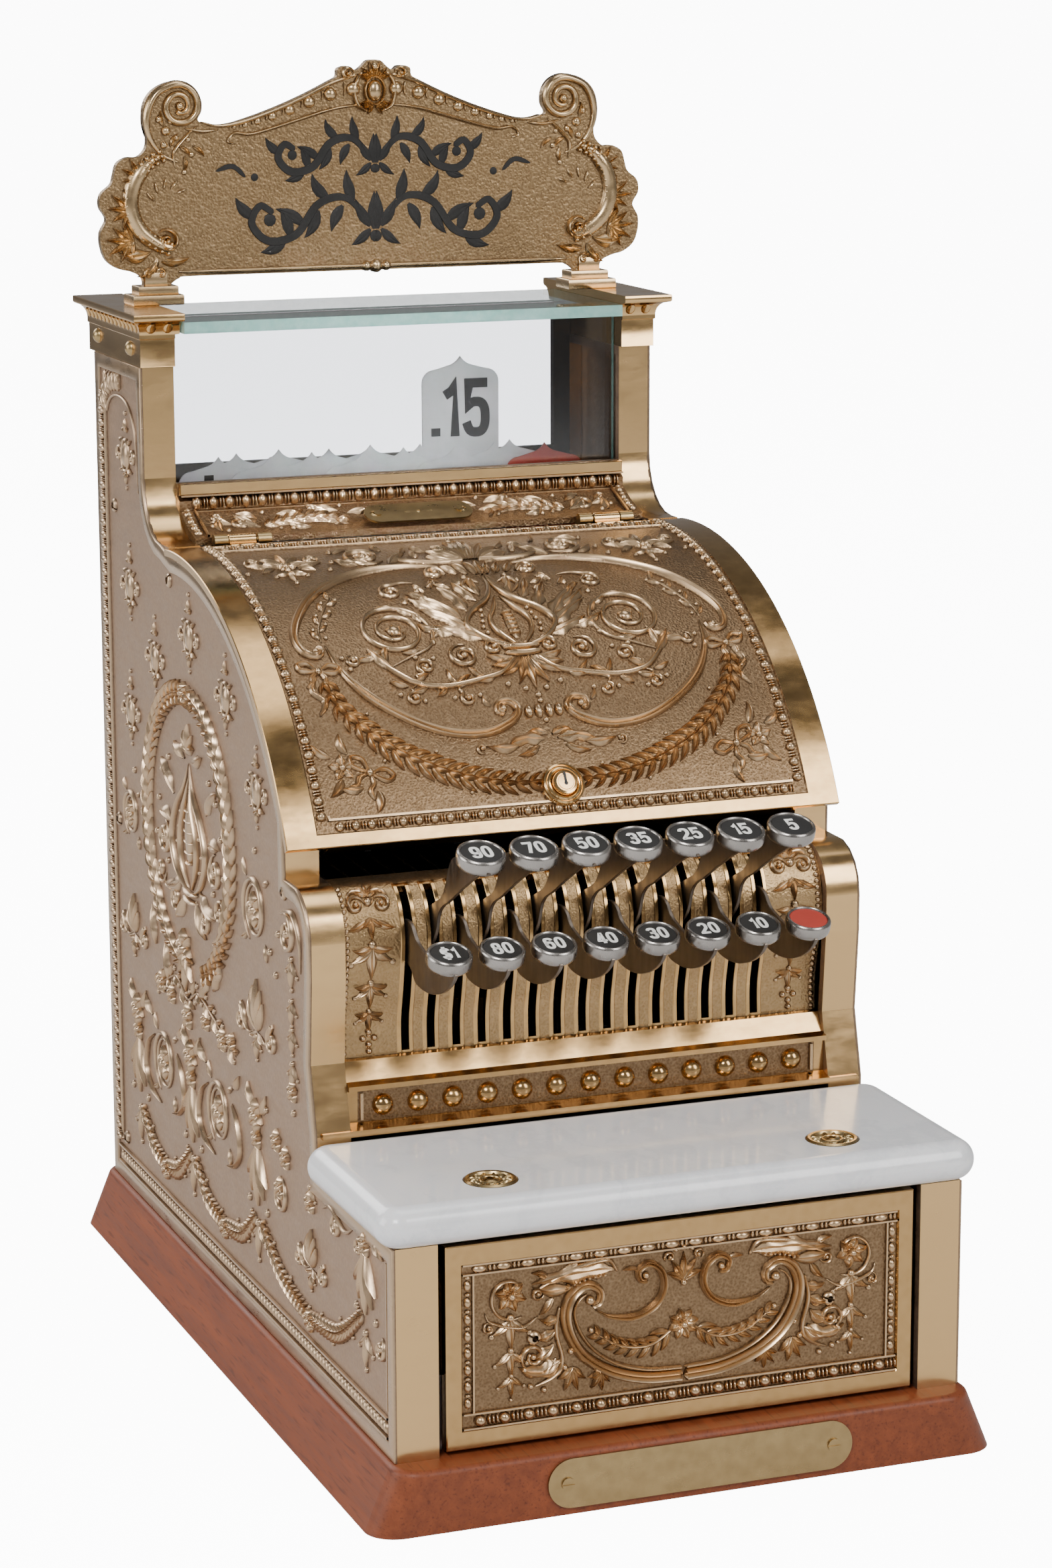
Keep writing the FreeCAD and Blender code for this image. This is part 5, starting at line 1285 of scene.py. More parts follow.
def drawer_ornament(p):
    """Right half of the drawer's cartouche and drops."""
    ridge(p, [(0, 45.2), (16, 46.2), (30, 50.5), (41, 58), (47, 67), (49, 76), (46.5, 83.5),
              (40.5, 87), (35, 84), (35, 79.5), (38.5, 78)], 5.0, 2.1, (1, 0.6), DOUBLE)
    ridge(p, [(0, 48.6), (15, 49.6), (28, 53.8), (37.5, 60.5), (43.2, 68.5), (45.4, 76),
              (43.6, 81), (40, 83.4)], 1.6, 1.7, (1, 0.5))
    dome(p, 39, 80.6, 2.0, height=1.9)
    ridge(p, [(37, 76.5), (30, 72.8), (20, 71.8), (12, 75.5), (8.3, 82), (9.5, 89),
              (14.5, 92.4), (19, 90), (18, 86), (14.5, 85.5)], 3.2, 1.9, (0.3, 0.7), DOUBLE)
    dome(p, 15.8, 87.8, 1.5, height=1.7)
    leaf(p, 18.5, 90.5, 7, 2.4, 20, -40, 1.3)
    scroll(p, 6, 94, 2.4, 1.1, -60, 1, 1.3, 1.4)
    # crest leaf sweeping outwards with its row of beads
    leaf(p, 29, 92, 34, 8.5, 4, -16, 2.0, 3)
    ridge(p, [(27.5, 90.5), (31, 95.8), (38, 96), (48, 94), (58, 89), (61, 86.5)], 2.1, 1.8,
          (0.6, 0.4))
    for k in range(8):
        dome(p, 33.5 + 2.1 * k, 90.6 - 0.06 * k * k, 0.85, height=2.3)
    leaf(p, 46, 87, 17, 5, -12, 40, 1.8, 1)
    leaf(p, 56, 91, 8, 3.4, 50, -60, 1.5)
    leaf(p, 54, 84, 9, 3.8, -62, 30, 1.6)
    scroll(p, 60.5, 86, 2.7, 1.2, 180, 1, 1.4, 1.5)
    # acanthus down the outer side of the ribbon
    for u, v, a, size in ((51.5, 76, -35, 9), (53, 71, -48, 10), (54, 65, -58, 11),
                          (53, 59, -66, 10)):
        leaf(p, u, v, size, size * 0.45, a, 70, 1.8, 1)
    ridge(p, [(51.5, 80), (53, 70), (50.5, 58), (54, 52), (62, 48.5)], 1.9, 1.6, (0.6, 0.4))
    leaf(p, 51, 58, 19, 7.5, -38, 78, 2.0, 2)
    scroll(p, 62.5, 61, 5.4, 1.4, -90, 1, 1.8, 1.6)
    beads(p, ((58, 47), (63.5, 49), (66, 56), (49.5, 55), (47, 61)), 1.3, 1.5)
    for u, v, base_angle, size in ((46, 54.5, -84, 11), (34, 51.5, -72, 9)):
        fan(p, u, v, size, base_angle, 76, 4, 0.34, 1.7)
    # rosette in its ring, husks below
    scroll(p, 71.5, 86.5, 10.2, 1.0, -120, 1, 1.5, 1.3)
    rosette(p, 71.5, 86.5, 6.6, 6, 2.1)
    ridge(p, [(60, 77), (66, 73.5), (72, 74), (80, 77), (82, 81)], 1.5, 1.3, (0.4, 0.4))
    scroll(p, 80.5, 74.5, 2.4, 1.1, 90, -1, 1.3, 1.3)
    for v, size in ((77, 12.5), (64, 10.5), (54, 8.5)):
        husk(p, 71.5, v, size, -90)


# ------------------------------------------------------------------ keyboard

KEY_COUNT, KEY_PITCH, SLOT_WIDTH = 15, 10.86, 3.3
PLATE_LINE = ((-92.2, 152.5), (-91.8, 168.5), (-95.2, 184), (-97.9, 203), (-94, 216),
              (-86, 223.2), (-72.4, 224))
on_plate = on_curve(PLATE_LINE)


def key_x(index):
    return (index - (KEY_COUNT - 1) / 2) * KEY_PITCH


def plate_v(z):
    """Length along the plate's curve at which it reaches a height."""
    vs = np.linspace(0, on_plate.length, 400)
    heights = on_plate(0.0, vs, 0.0)[:, 2]
    return float(vs[np.argmax(heights >= z)])


def build_keyboard_plate():
    slot_low, slot_high = plate_v(156), plate_v(222.3)
    half, margin = SLOT_WIDTH / 2, 1.5
    us = [-103.9, -103.6, 103.6, 103.9]
    for k in range(KEY_COUNT):
        x = key_x(k)
        us += [x - half - margin - 0.3, x - half - margin, x - half - 0.15, x - half, x + half,
               x + half + 0.15, x + half + margin, x + half + margin + 0.3]

    def slot_distance(u):
        """Distance outside the nearest slot's edge."""
        return np.min([np.abs(u - key_x(k)) for k in range(KEY_COUNT)], axis=0) - half

    def height(u, v):
        away = slot_distance(u)
        near = np.clip(1 - away / 0.15, 0, 1) * 0.15
        lifted = np.clip((margin + 0.3 - away) / 0.3, 0, 1)
        field = (v > slot_low - 2) & (v < slot_high + 2)
        return np.where(field, 0.28 * lifted - near, 0.0)

    p = Piece(on_plate)
    p.sheet(sorted(set(us)), steps((0, slot_low - 0.01, 3), (slot_low, slot_high, 2.4),
                                   (slot_high + 0.01, on_plate.length, 2)), height, 3.0,
            lambda u, v: not (slot_low < v < slot_high and slot_distance(u) < 0),
            lambda u, v: 0 if slot_distance(u) < margin + 0.3 and slot_low - 2 < v
            < slot_high + 2 else 1, 0.0)
    p.make("key_plate", "cabinet", (polished, worn_cast), ("keyboard_plate",),
           sharp=30)

    p = Piece()
    for _ in halves(p, on_plate):
        u = 91.5
        for side in (-1, 1):
            scroll(p, u + side * 5.4, 66.5, 4.0, 1.3, 90 + side * 90, -side, 2.0, 2.0)
            ridge(p, [(u, 72), (u + side * 6, 72.5), (u + side * 9, 69)], 1.8, 1.6)
            leaf(p, u + side * 2, 60, 9, 3.6, -90 + side * 50, side * 40, 1.8)
        dome(p, u, 67.5, 1.9, height=2.2)
        fan(p, u, 70, 7, 90, 120, 5, 0.36, 1.9)
        fan(p, u, 61, 9, -90, 70, 3, 0.36, 2.0)
        for v, size in ((49.5, 14), (33, 10.5), (21, 9)):
            husk(p, u, v, size, -90)
        for v, size in ((49, 8.5), (33, 7), (20.5, 6)):
            for side in (-1, 1):
                leaf(p, u, v, size, size * 0.44, -90 + side * 66, side * 50, 2.2)
        for du, dv in ((0, 7.5), (-2.4, 10), (2.4, 10), (0, 12.6), (0, 4.8)):
            dome(p, u + du, dv, 1.4, height=1.7)
        rope_row(p, [(102, 3), (102, 40), (102, 76)], 2.6, 1.3, 1.2, 30)
    p.make("key_plate_ornament", "cabinet", (cast,))

    # stippled ground behind the row of domes on the rail
    p = Piece(on_front(-101.0))
    p.sheet((-99.5, -99, 99, 99.5), (131.1, 131.4, 143.6, 143.9),
            lambda u, v: 0.12 * np.clip((99.5 - np.abs(u)) / 0.5, 0, 1), 0.2, proud=0.0)
    for side in (-1, 1):
        strip(p, (side * 98, 132), (side * 98, 143), 1.4, 1.2)
    p.make("rail_ground", "cabinet", (cast,))


LOWER_LEVER = ((-36, 167), (-92, 192), (-108, 187), (-126, 187.5), (-143, 193.5),
               (-152.5, 201.5), (-144, 203.5), (-129, 200.5), (-110.5, 204), (-92, 210),
               (-36, 184))
UPPER_LEVER = ((-36, 167), (-92, 197), (-105, 215), (-117, 222), (-132, 230.5),
               (-150, 239.5), (-160, 242), (-152, 243), (-133, 242), (-119, 239),
               (-108.6, 223), (-92, 214), (-36, 184))
LEVER_TAIL = ((-24, 184), (90, 178), (171, 180), (171, 175), (90, 167), (-24, 167))
KEY_LABELS = ("$1", "90", "80", "70", "60", "50", "40", "35", "30", "25", "20", "15", "10",
              "5", "")
CAP_TILT, CAP_HEIGHT = math.radians(18), 6.5
LOWER_CAP, UPPER_CAP = (-145, 209, 9.15), (-151.5, 249.5, 9.7)   # y, z and radius
FLAG_NUMERAL, FLAG_STROKE, NUMERAL_DROP, ENAMEL_RISE = 22.5, 4.4, 23.8, 0.08


def bowl(u, v, ru, rv, first, last):
    """Part of a squarish oval, between two angles in degrees."""
    angles = np.radians(np.linspace(first, last, 2 + int(abs(last - first) / 15)))
    c, s = np.cos(angles), np.sin(angles)
    return list(zip(u + ru * np.sign(c) * np.abs(c) ** 0.75,
                    v + rv * np.sign(s) * np.abs(s) ** 0.75))


NINE = [bowl(0.2, 0.7, 0.2, 0.3, 0, 360),
        [(0.4, 0.7), (0.4, 0.28), *bowl(0.2, 0.25, 0.2, 0.25, 0, -160)]]
STROKES = {
    "0": [bowl(0.2, 0.5, 0.2, 0.5, 0, 360)],
    "1": [[(0.0, 0.80), (0.1, 0.86), (0.16, 1), (0.16, 0)]],
    "2": [[*bowl(0.2, 0.75, 0.2, 0.25, 165, -15), (0.36, 0.5), (0.0, 0.02), (0.0, 0),
           (0.42, 0)]],
    "3": [[*bowl(0.2, 0.77, 0.19, 0.23, 160, -80), (0.14, 0.54)],
          [(0.14, 0.54), *bowl(0.2, 0.27, 0.2, 0.27, 80, -160)]],
    "4": [[(0.3, 0), (0.3, 1), (0.26, 1), (0.0, 0.3), (0.0, 0.24), (0.44, 0.24)]],
    "5": [[(0.38, 1), (0.04, 1), (0.02, 0.52), *bowl(0.2, 0.31, 0.2, 0.31, 125, -155)]],
    "6": [[(0.4 - u, 1 - v) for u, v in stroke] for stroke in NINE],
    "7": [[(0, 1), (0.4, 1), (0.4, 0.94), (0.15, 0)]],
    "8": [bowl(0.2, 0.77, 0.18, 0.23, 0, 360), bowl(0.2, 0.27, 0.2, 0.27, 0, 360)],
    "9": NINE,
    "$": [[*bowl(0.2, 0.74, 0.2, 0.24, 20, 225), (0.34, 0.44),
           *bowl(0.2, 0.26, 0.2, 0.24, 25, -160)], [(0.2, -0.14), (0.2, 1.14)]],
    ".": [[(0, 0.015), (0, 0.045)]],
}
GLYPH_WIDTH = {".": 0.0, "1": 0.16}


def lettering(p, text, matrix, height, stroke):
    """Narrow block numerals laid as flat strokes, centred on the matrix's origin."""
    widths = [GLYPH_WIDTH.get(letter, 0.4) * height for letter in text]
    gap = stroke * 1.3
    start_u = -(sum(widths) + gap * (len(text) - 1)) / 2
    p.place = on_matrix(matrix)
    rim = np.array([(-0.5, -0.05), (-0.5, 0.045), (-0.42, 0.06), (0.42, 0.06), (0.5, 0.045),
                    (0.5, -0.05)])
    for letter, wide in zip(text, widths):
        for line in STROKES[letter]:
            path = np.array(line) * height + (start_u, -height / 2)
            closed = np.allclose(path[0], path[-1], atol=1e-6)
            legs, ahead, mitre = mitred(path, closed, 0.62)
            reach = rim[:, 0] * stroke * mitre[:, None]
            if not closed:
                path[0] -= legs[0] * stroke * 0.35
                path[-1] += legs[-1] * stroke * 0.35
            p.patch(path[:, :1] - ahead[:, 1:] * reach, path[:, 1:] + ahead[:, :1] * reach,
                    rim[:, 1] + 0 * reach, 0.5)
        start_u += wide + gap


def build_keys():
    for index in range(KEY_COUNT):
        upper = index % 2 == 1
        x = key_x(index)
        p = Piece(lambda u, v, h: stack(x + h, u, v))
        line = curve(UPPER_LEVER if upper else LOWER_LEVER, 2.2)
        p.look = 3
        p.slab([*line, *LEVER_TAIL], -0.75, 0.75, 0.2)
        p.look = 0
        cap_y, cap_z, r = UPPER_CAP if upper else LOWER_CAP
        top = Vector((x, cap_y, cap_z))
        out = Vector((0, -math.sin(CAP_TILT), math.cos(CAP_TILT)))
        up = Vector((0, math.cos(CAP_TILT), math.sin(CAP_TILT)))
        turn = Matrix((Vector((1, 0, 0)), up, out)).transposed().to_4x4()
        base = Matrix.Translation(top - out * CAP_HEIGHT) @ turn
        p.turned(((0.01, 0.1), (r - 2.4, 0), (r - 1.0, 0.4), (r - 0.25, 1.3), (r, 2.4),
                  (r, 5.2), (r - 0.2, 5.9), (r - 0.75, 6.4), (r - 1.25, 6.45), (r - 1.6, 6.1),
                  (r - 1.7, 5.7)), base, 48)
        p.turned(((2.6, -1.6), (3.1, -1.2), (3.1, 0.3)), base, 20)
        p.look = 1
        p.turned(((r - 1.66, 5.5), (r - 1.72, 5.85), (r * 0.5, 6.05), (0.01, 6.1)), base, 48)
        label = KEY_LABELS[index]
        if label:
            p.look = 2
            face = Matrix.Translation(top - out * (CAP_HEIGHT - 6.16)) @ turn
            lettering(p, label, face, r * 0.72, r * 0.15)
        number = f"{index + 1:02d}"
        face_look = key_red if index == KEY_COUNT - 1 else black
        p.make(f"key_cap_and_lever_{number}", f"key_{number}",
               (nickel, face_look, white, lever_metal), (f"key_{number}",), sharp=32)


def build_flag_numerals():
    """Amounts on both faces of each indicator flag, below its pointed head."""
    for index, label in enumerate(KEY_LABELS):
        if not label:
            continue
        number = f"{index + 1:02d}"
        node = f"flag_{number}"
        near, far = low(node), high(node)
        text = label if label.startswith("$") else "." + label.zfill(2)
        centre_x = (near[0] + far[0]) / 2
        p = Piece()
        for y, right, out in ((near[1], 1, -1), (far[1], -1, 1)):
            face = Matrix(((right, 0, 0), (0, 0, out), (0, 1, 0))).to_4x4()
            face.translation = (centre_x, y + out * ENAMEL_RISE, far[2] - NUMERAL_DROP)
            lettering(p, text, face, FLAG_NUMERAL, FLAG_STROKE)
        p.make(f"flag_numeral_{number}", node, (black,))


# ------------------------------------------------------------------ front panel and plate

def build_front_panel():
    slope = on_curve(((96, 337), (108, 340.5), (119, 346)))
    p = Piece(on_front(119.0))
    bead_row(p, [(-100, 348.9), (0, 348.9), (100, 348.9)], 7.4, 2.35, 3.1, 2, 2.7)
    for z in (345.3, 352.3):
        strip(p, (-103.5, z), (103.5, z), 0.8, 1.5)
    for _ in halves(p, slope):
        bead_row(p, [(101, 2), (101, 12), (101, 24)], 5.2, 1.7, 1.9, 1, 1.7)
        strip(p, (97.6, 1), (97.6, 24), 1.0, 1.2)
        garland(p, [(72, 8), (58, 13), (46, 14), (34, 10)], 9.5, 4.2, 2.0)
        for u, v, a, size, bend in ((72, 8, 30, 15, 40), (74, 10, 60, 12, -60),
                                    (84, 12, 20, 12, 60), (30, 16, 160, 12, 60),
                                    (34, 18, 30, 12, -50), (62, 18, 170, 12, 40),
                                    (90, 6, 80, 12, 40), (80, 20, 190, 10, 50),
                                    (50, 5, 0, 10, 50), (40, 20, 0, 9, 60)):
            leaf(p, u, v, size, size * 0.36, a, bend, 1.8, 1)
        scroll(p, 80, 13, 4.6, 1.3, 200, 1, 1.8, 1.6)
        scroll(p, 90, 17, 3.6, 1.3, 0, -1, 1.6, 1.5)
        beads(p, ((68, 20), (87, 6), (46, 21), (93, 11), (32, 22), (58, 5)), 1.2, 1.4)
    p.make("front_panel_ornament", "cabinet", (cast,))

    p = Piece(on_front(POST_FACE - 2))
    p.slab([(-103.6, 352.6), (103.6, 352.6), (103.6, 357.4), (-103.6, 357.4)], 0, 3.4, 0.5)
    p.make("sill_strip", "cabinet", (polished,))

    plate_y, plate_z = 102.6, 341.6
    lean, rise = math.cos(math.radians(26.5)), math.sin(math.radians(26.5))
    p = Piece(lambda u, v, h: stack(u, plate_y + v * lean - h * rise,
                                    plate_z + v * rise + h * lean))
    lift = Shift(p, 0.55)
    for side in (-1, 1):
        screw_head(lift, side * 20.5, 0, 2.1, 30 * side, 0.8)
    loop = [(19 + 4.6 * math.cos(a), 4.6 * math.sin(a)) for a in np.linspace(-1.5, 1.5, 7)]
    loop += [(-x, y) for x, y in loop[::-1]]
    ridge(lift, loop, 0.7, 0.35, loop=True, straight=True)
    for angle in (0, 180):
        leaf(lift, 0, 0, 9, 2.6, angle, 0, 0.5)
    dome(lift, 0, 0, 1.4, height=0.6)
    p.make("serial_plate_screws", "cabinet", (aged,))


# ------------------------------------------------------------------ capitals

COVE_FOOT, COVE_RISE = 422.6, 6.2


def sweep(z):
    """Share of a capital's overhang that its hollow has reached at a height."""
    share = np.clip((np.asarray(z) - COVE_FOOT) / COVE_RISE, 0, 1)
    return 0.10 + 0.82 * (1 - np.sqrt(np.maximum(0.0, 1 - share * share)))


def build_cornices():
    outer, front, rear = 119.5, 121.0, 205.0
    reach_x, reach_front, reach_rear = 5.1, 9.5, 8.0
    levels = [(0.02, 408.5), (0, 408.8), (0, 420.4), (0.10, 420.8), (0.10, 422.4)]
    levels += [(float(sweep(z)), z) for z in np.linspace(COVE_FOOT, COVE_FOOT + COVE_RISE, 9)]
    levels += [(0.93, 429.0), (0.98, 429.1), (1.0, 429.5), (1.0, 431.5), (0.97, 432.0)]
    for name, sign in SIDES:
        p = Piece()
        points, faces = [], []
        for share, z in levels:
            inner = 104.0 if z < 422.5 else 102.0
            x0, x1 = inner, outer + reach_x * share
            y0, y1 = front - reach_front * share, rear + reach_rear * share
            points += [(sign * x0, y0, z), (sign * x1, y0, z), (sign * x1, y1, z),
                       (sign * x0, y1, z)]
        for k in range(len(levels) - 1):
            for j in range(4):
                n = (j + 1) % 4
                faces.append((4 * k + j, 4 * k + n, 4 * k + 4 + n, 4 * k + 4 + j))
        faces += [(3, 2, 1, 0), tuple(range(4 * len(levels) - 4, 4 * len(levels)))]
        p.solid(points, faces)

        p.place = lambda u, v, h: stack(sign * (outer + reach_x * sweep(v) + h), u, v)
        for k in range(13):
            y = 124.5 + 6.35 * k
            ridge(p, [(y, 422.9), (y, 425.2), (y, 427.6)], 2.6, 0.9, (0.5, 1.1))
        p.place = lambda u, v, h: stack(sign * u, front - reach_front * sweep(v) - h, v)
        for u in (107.5, 115):
            dome(p, u, 425.3, 2.3, height=1.4)
        p.make(f"{name}_capital", "cabinet", (polished,),
               ("cornices",) if name == "left" else ())


# ------------------------------------------------------------------ sign

SIGN_HALF = ((0, 443.8), (45, 443.8), (86, 443.8), (91, 443.2), (95, 440.6), (96.5, 437.5),
             (108, 437.5), (107.2, 441), (108.5, 444.4), (113, 446.6), (119, 448.2),
             (124, 452), (126.2, 458), (126.2, 464), (123.6, 469.5), (126.4, 475),
             (125.6, 480.5), (121, 484.6), (119.6, 489), (118, 493.6), (113.6, 496),
             (108.6, 496.2), (105, 500), (104.6, 505.5), (106, 511), (105.6, 518),
             (102.4, 523.6), (96.6, 527.2), (90, 528.2), (84, 526.2), (80, 521),
             (79.6, 515.4), (81.4, 511.4), (77.6, 509.4), (71, 508.9), (62, 510.9),
             (48, 515.4), (34, 520.9), (21, 527), (17.4, 529), (16.8, 532.3), (12.6, 533.4),
             (8.6, 531.6), (5.8, 533.2), (3.2, 535.6), (0, 535.9))


def sign_relief(p):
    """Right half of the sign's cast ornament."""
    for u, v, r in ((10, 523.4, 3.3), (20.6, 521.4, 3.1), (30.4, 518.2, 2.8),
                      (39.4, 515, 2.5), (47.4, 512.4, 2.1), (54.2, 510.4, 1.7),
                      (60, 508.9, 1.4), (65, 508, 1.1)):
        dome(p, u, v, r, height=r * 0.62)
        ridge(p, [(u + r + 1.2, v + r), (u + r + 0.5, v), (u + r + 1.0, v - r)], 0.9, 0.9)
    ridge(p, [(8, 529.8), (20, 526), (34, 519.7), (48, 514.2), (62, 509.9), (72, 508.6),
              (80, 510.4)], 1.8, 1.5, (0.8, 0.5))
    ridge(p, [(7, 516.6), (20, 514.8), (34, 511), (48, 507), (58, 504.8), (65, 505.4),
              (68, 502), (64.5, 500.6)], 1.7, 1.4, (0.7, 0.6))
    ridge(p, [(72, 507), (80, 506.4), (88, 508)], 1.5, 1.2)
    # crest
    ridge(p, [(3, 513.4), (7.5, 516), (9.4, 521.5), (8.4, 527), (5.4, 531)], 2.2, 2.0,
          (0.5, 0.5))
    scroll(p, 12.4, 530.2, 2.9, 1.2, 180, -1, 1.8, 1.7)
    for k, a in enumerate((86, 60, 34)):
        leaf(p, 0.8 + k, 527.5, 7.6 - k, 3, a, -20, 2.0)
    for k, a in enumerate((-80, -52, -20)):
        leaf(p, 1 + k, 517.5, 6 - k * 0.8, 2.6, a, 40, 1.8)
    # corner volute and its foliage
    scroll(p, 89.6, 517.6, 9.6, 1.7, 62, 1, 3.4, 1.9,
           [(90, 493), (98, 497), (103.4, 505), (104.4, 514), (100.6, 522.4)])
    ridge(p, [(81.6, 509), (88, 503.4), (92.6, 497.6), (92, 490.6)], 1.7, 1.3)
    for u, v, r in ((96, 507, 2.2), (99, 512, 1.6), (91.6, 504, 1.5), (97, 501, 1.7),
                    (93.8, 511, 1.3), (86, 503, 1.2), (84.6, 496.6, 1.4), (88, 489, 1.3)):
        dome(p, u, v, r, height=r * 0.75)
    leaves(p, ((94, 500, 100), (90, 500, 200), (97, 509, 60), (88, 496, 250),
               (84, 500, 200)), 7, 2.6, 50, 1.3)
    # outer acanthus scroll with its fringe of shells
    body = [(97, 497), (105, 492.6), (111, 484), (112.4, 474), (108.6, 464.6), (101, 458.4),
            (94, 455.6)]
    ridge(p, body, 7.6, 2.6, (0.3, 0.8))
    for u, v, heading in along(body, 3.1):
        for side in (-1, 0, 1):
            dome(p, *polar(u, v, side * 2.1, heading + 90), 1.25, height=2.0 if side else 2.6)
    scroll(p, 96.4, 459.4, 5.4, 1.3, 40, 1, 2.2, 2.6)
    for u, v, size, a in ((116, 460, 13.5, -12), (115.6, 473, 13, 20), (111, 486, 12, 42)):
        fan(p, u - 4.6, v, size, a, 120, 6, 0.27, 1.7)
    for k in range(5):
        a = math.radians(20 + 28 * k)
        ridge(p, [(96 + 6 * math.cos(a), 474 + 8 * math.sin(a)),
                  (96 + 11 * math.cos(a + 0.2), 474 + 13 * math.sin(a + 0.2))], 1.4, 1.1)
    leaf(p, 104, 455, 15, 5.6, -26, 60, 1.8, 1)
    leaf(p, 99, 450.6, 13, 4.6, 190, -40, 1.6)
    leaf(p, 101, 452, 12, 4.4, -70, 60, 1.7)
    scroll(p, 99.4, 445.4, 2.6, 1.1, 0, 1, 1.3)
    scroll(p, 105.2, 445.4, 2.6, 1.1, 180, -1, 1.3)
    ridge(p, [(0, 445.6), (40, 445.6), (80, 445.6), (92, 446)], 2.4, 1.5, (1, 0.4))


def sign_inlay(p):
    """Right half of the black inlaid scrollwork in the sign's field."""
    def line(points, width, tips=(0.5, 0.4)):
        ridge(p, points, width, 0.5, tips, FLAT)

    def blade(u, v, length, width, angle, curl=0):
        leaf(p, u, v, length, width, angle, curl, 0.5)

    for v, size in ((495, 1.0), (467, 1.28)):
        line([(3 * size, v - 1 * size), (11 * size, v + 7 * size), (21 * size, v + 5 * size),
              (29 * size, v - 5 * size), (39 * size, v - 7 * size), (45 * size, v - 1 * size),
              (42 * size, v + 5 * size), (37 * size, v + 2.4 * size)], 3.6, (0.5, 0.8))
        dome(p, 38.5 * size, v + 0.2, 2.3 * size, height=0.45)
        for u, dv, length, a, bend in ((8, 6, 11, 64, 30), (17, 7, 11, 30, 60),
                                       (12, 4.4, 10, -52, -30), (21, 3, 11, -78, 40),
                                       (26, -2, 12, 42, -30), (33, -7, 10, -40, 40),
                                       (31, -6, 11, 78, -20), (44, 1, 10, 30, 40)):
            blade(u * size, v + dv * size, length * size, 4.4 * size, a, bend)
        blade(0.6, v - 4 * size, 13 * size, 5.4 * size, 90, 0)
        blade(2 * size, v - 3 * size, 11 * size, 4.2 * size, 52, 20)
        blade(2 * size, v - 4 * size, 9 * size, 3.6 * size, -50, 30)
        dome(p, 0.2, v - 6.4 * size, 2.1 * size, height=0.45)
    line([(60, 486), (66, 491), (74, 489)], 2.2)
    dome(p, 56, 486, 1.8, height=0.45)


def build_sign():
    outline = [*SIGN_HALF, *((-x, z) for x, z in SIGN_HALF[-2:0:-1])]
    p = Piece(on_front(SIGN_BACK))
    p.slab(curve(outline, 1.4, True)[:-1], 0, SIGN_BACK - SIGN_FRONT, 0, 0.0)
    p.place = on_top(0)
    for side in (-1, 1):
        for x0, x1, y0, y1, z0, z1 in ((90.5, 113.5, 151, 167, CORNICE_TOP, 436.4),
                                       (92.5, 110.5, 153, 165, 436.2, 440.2)):
            p.slab([(side * x0, y0), (side * x1, y0), (side * x1, y1), (side * x0, y1)], z0,
                   z1, 0.5)
        p.slab([(side * 97, 155), (side * 107, 155), (side * 107, 161), (side * 97, 161)],
               439.8, 446, 0.4)
    faces = raised(on_front(SIGN_FRONT), 1.3), raised(mirrored(on_rear(SIGN_BACK)), 1.3)
    p.make("sign_plate", "cabinet", (sign_cast,), ("top_sign",), sharp=45)
    p = Piece()
    inlaid = Piece()
    for face in faces:
        for place in (face, mirrored(face)):
            p.place = inlaid.place = place
            sign_relief(p)
            sign_inlay(inlaid)
        p.place = face
        dome(p, 0, 522.6, 3.6, 5, 2.6)
        ridge(p, oval(0, 522.6, 4.6, 6.1, 12), 1.3, 1.8, loop=True)
        dome(p, 0, 533, 1.9, height=1.9)
        for u in (-4.6, 0, 4.6):
            dome(p, u, 445.6, 2.4 if u else 3.0, 2.4 if u else 3.2, 2.2)
    p.make("sign_ornament", "cabinet", (sign_cast,), sharp=50)
    inlaid.make("sign_inlay", "cabinet", (inlay,))


# ------------------------------------------------------------------ shelf rosettes, rear

def build_shelf_rosettes():
    near, far = low("shelf_rosettes"), high("shelf_rosettes")
    radius = (far[1] - near[1]) / 2
    y = (near[1] + far[1]) / 2
    p = Piece(on_top(SHELF_TOP - 0.5))
    for x in (near[0] + radius, far[0] - radius):
        p.turned(((radius - 0.1, -2), (radius, 0.15), (radius - 0.8, 0.75), (radius - 1.8, 0.55),
                  (radius - 2.4, -0.35), (5.5, -0.7), (4.6, -0.2), (4.2, 0.3), (3.7, 0.3),
                  (3.5, -0.1), (0.01, 0.0)), Matrix.Translation((x, y, SHELF_TOP)), 48, 0.5)
        for angle in range(0, 360, 30):
            leaf(p, *polar(x, y, 4.4, angle), 4.4, 2.3, angle, 0, 1.0)
        screw_head(p, x, y, 3.2, 20, 1.1)
    p.make("shelf_rosette_caps", "cabinet", (aged,), ("shelf_rosettes",))


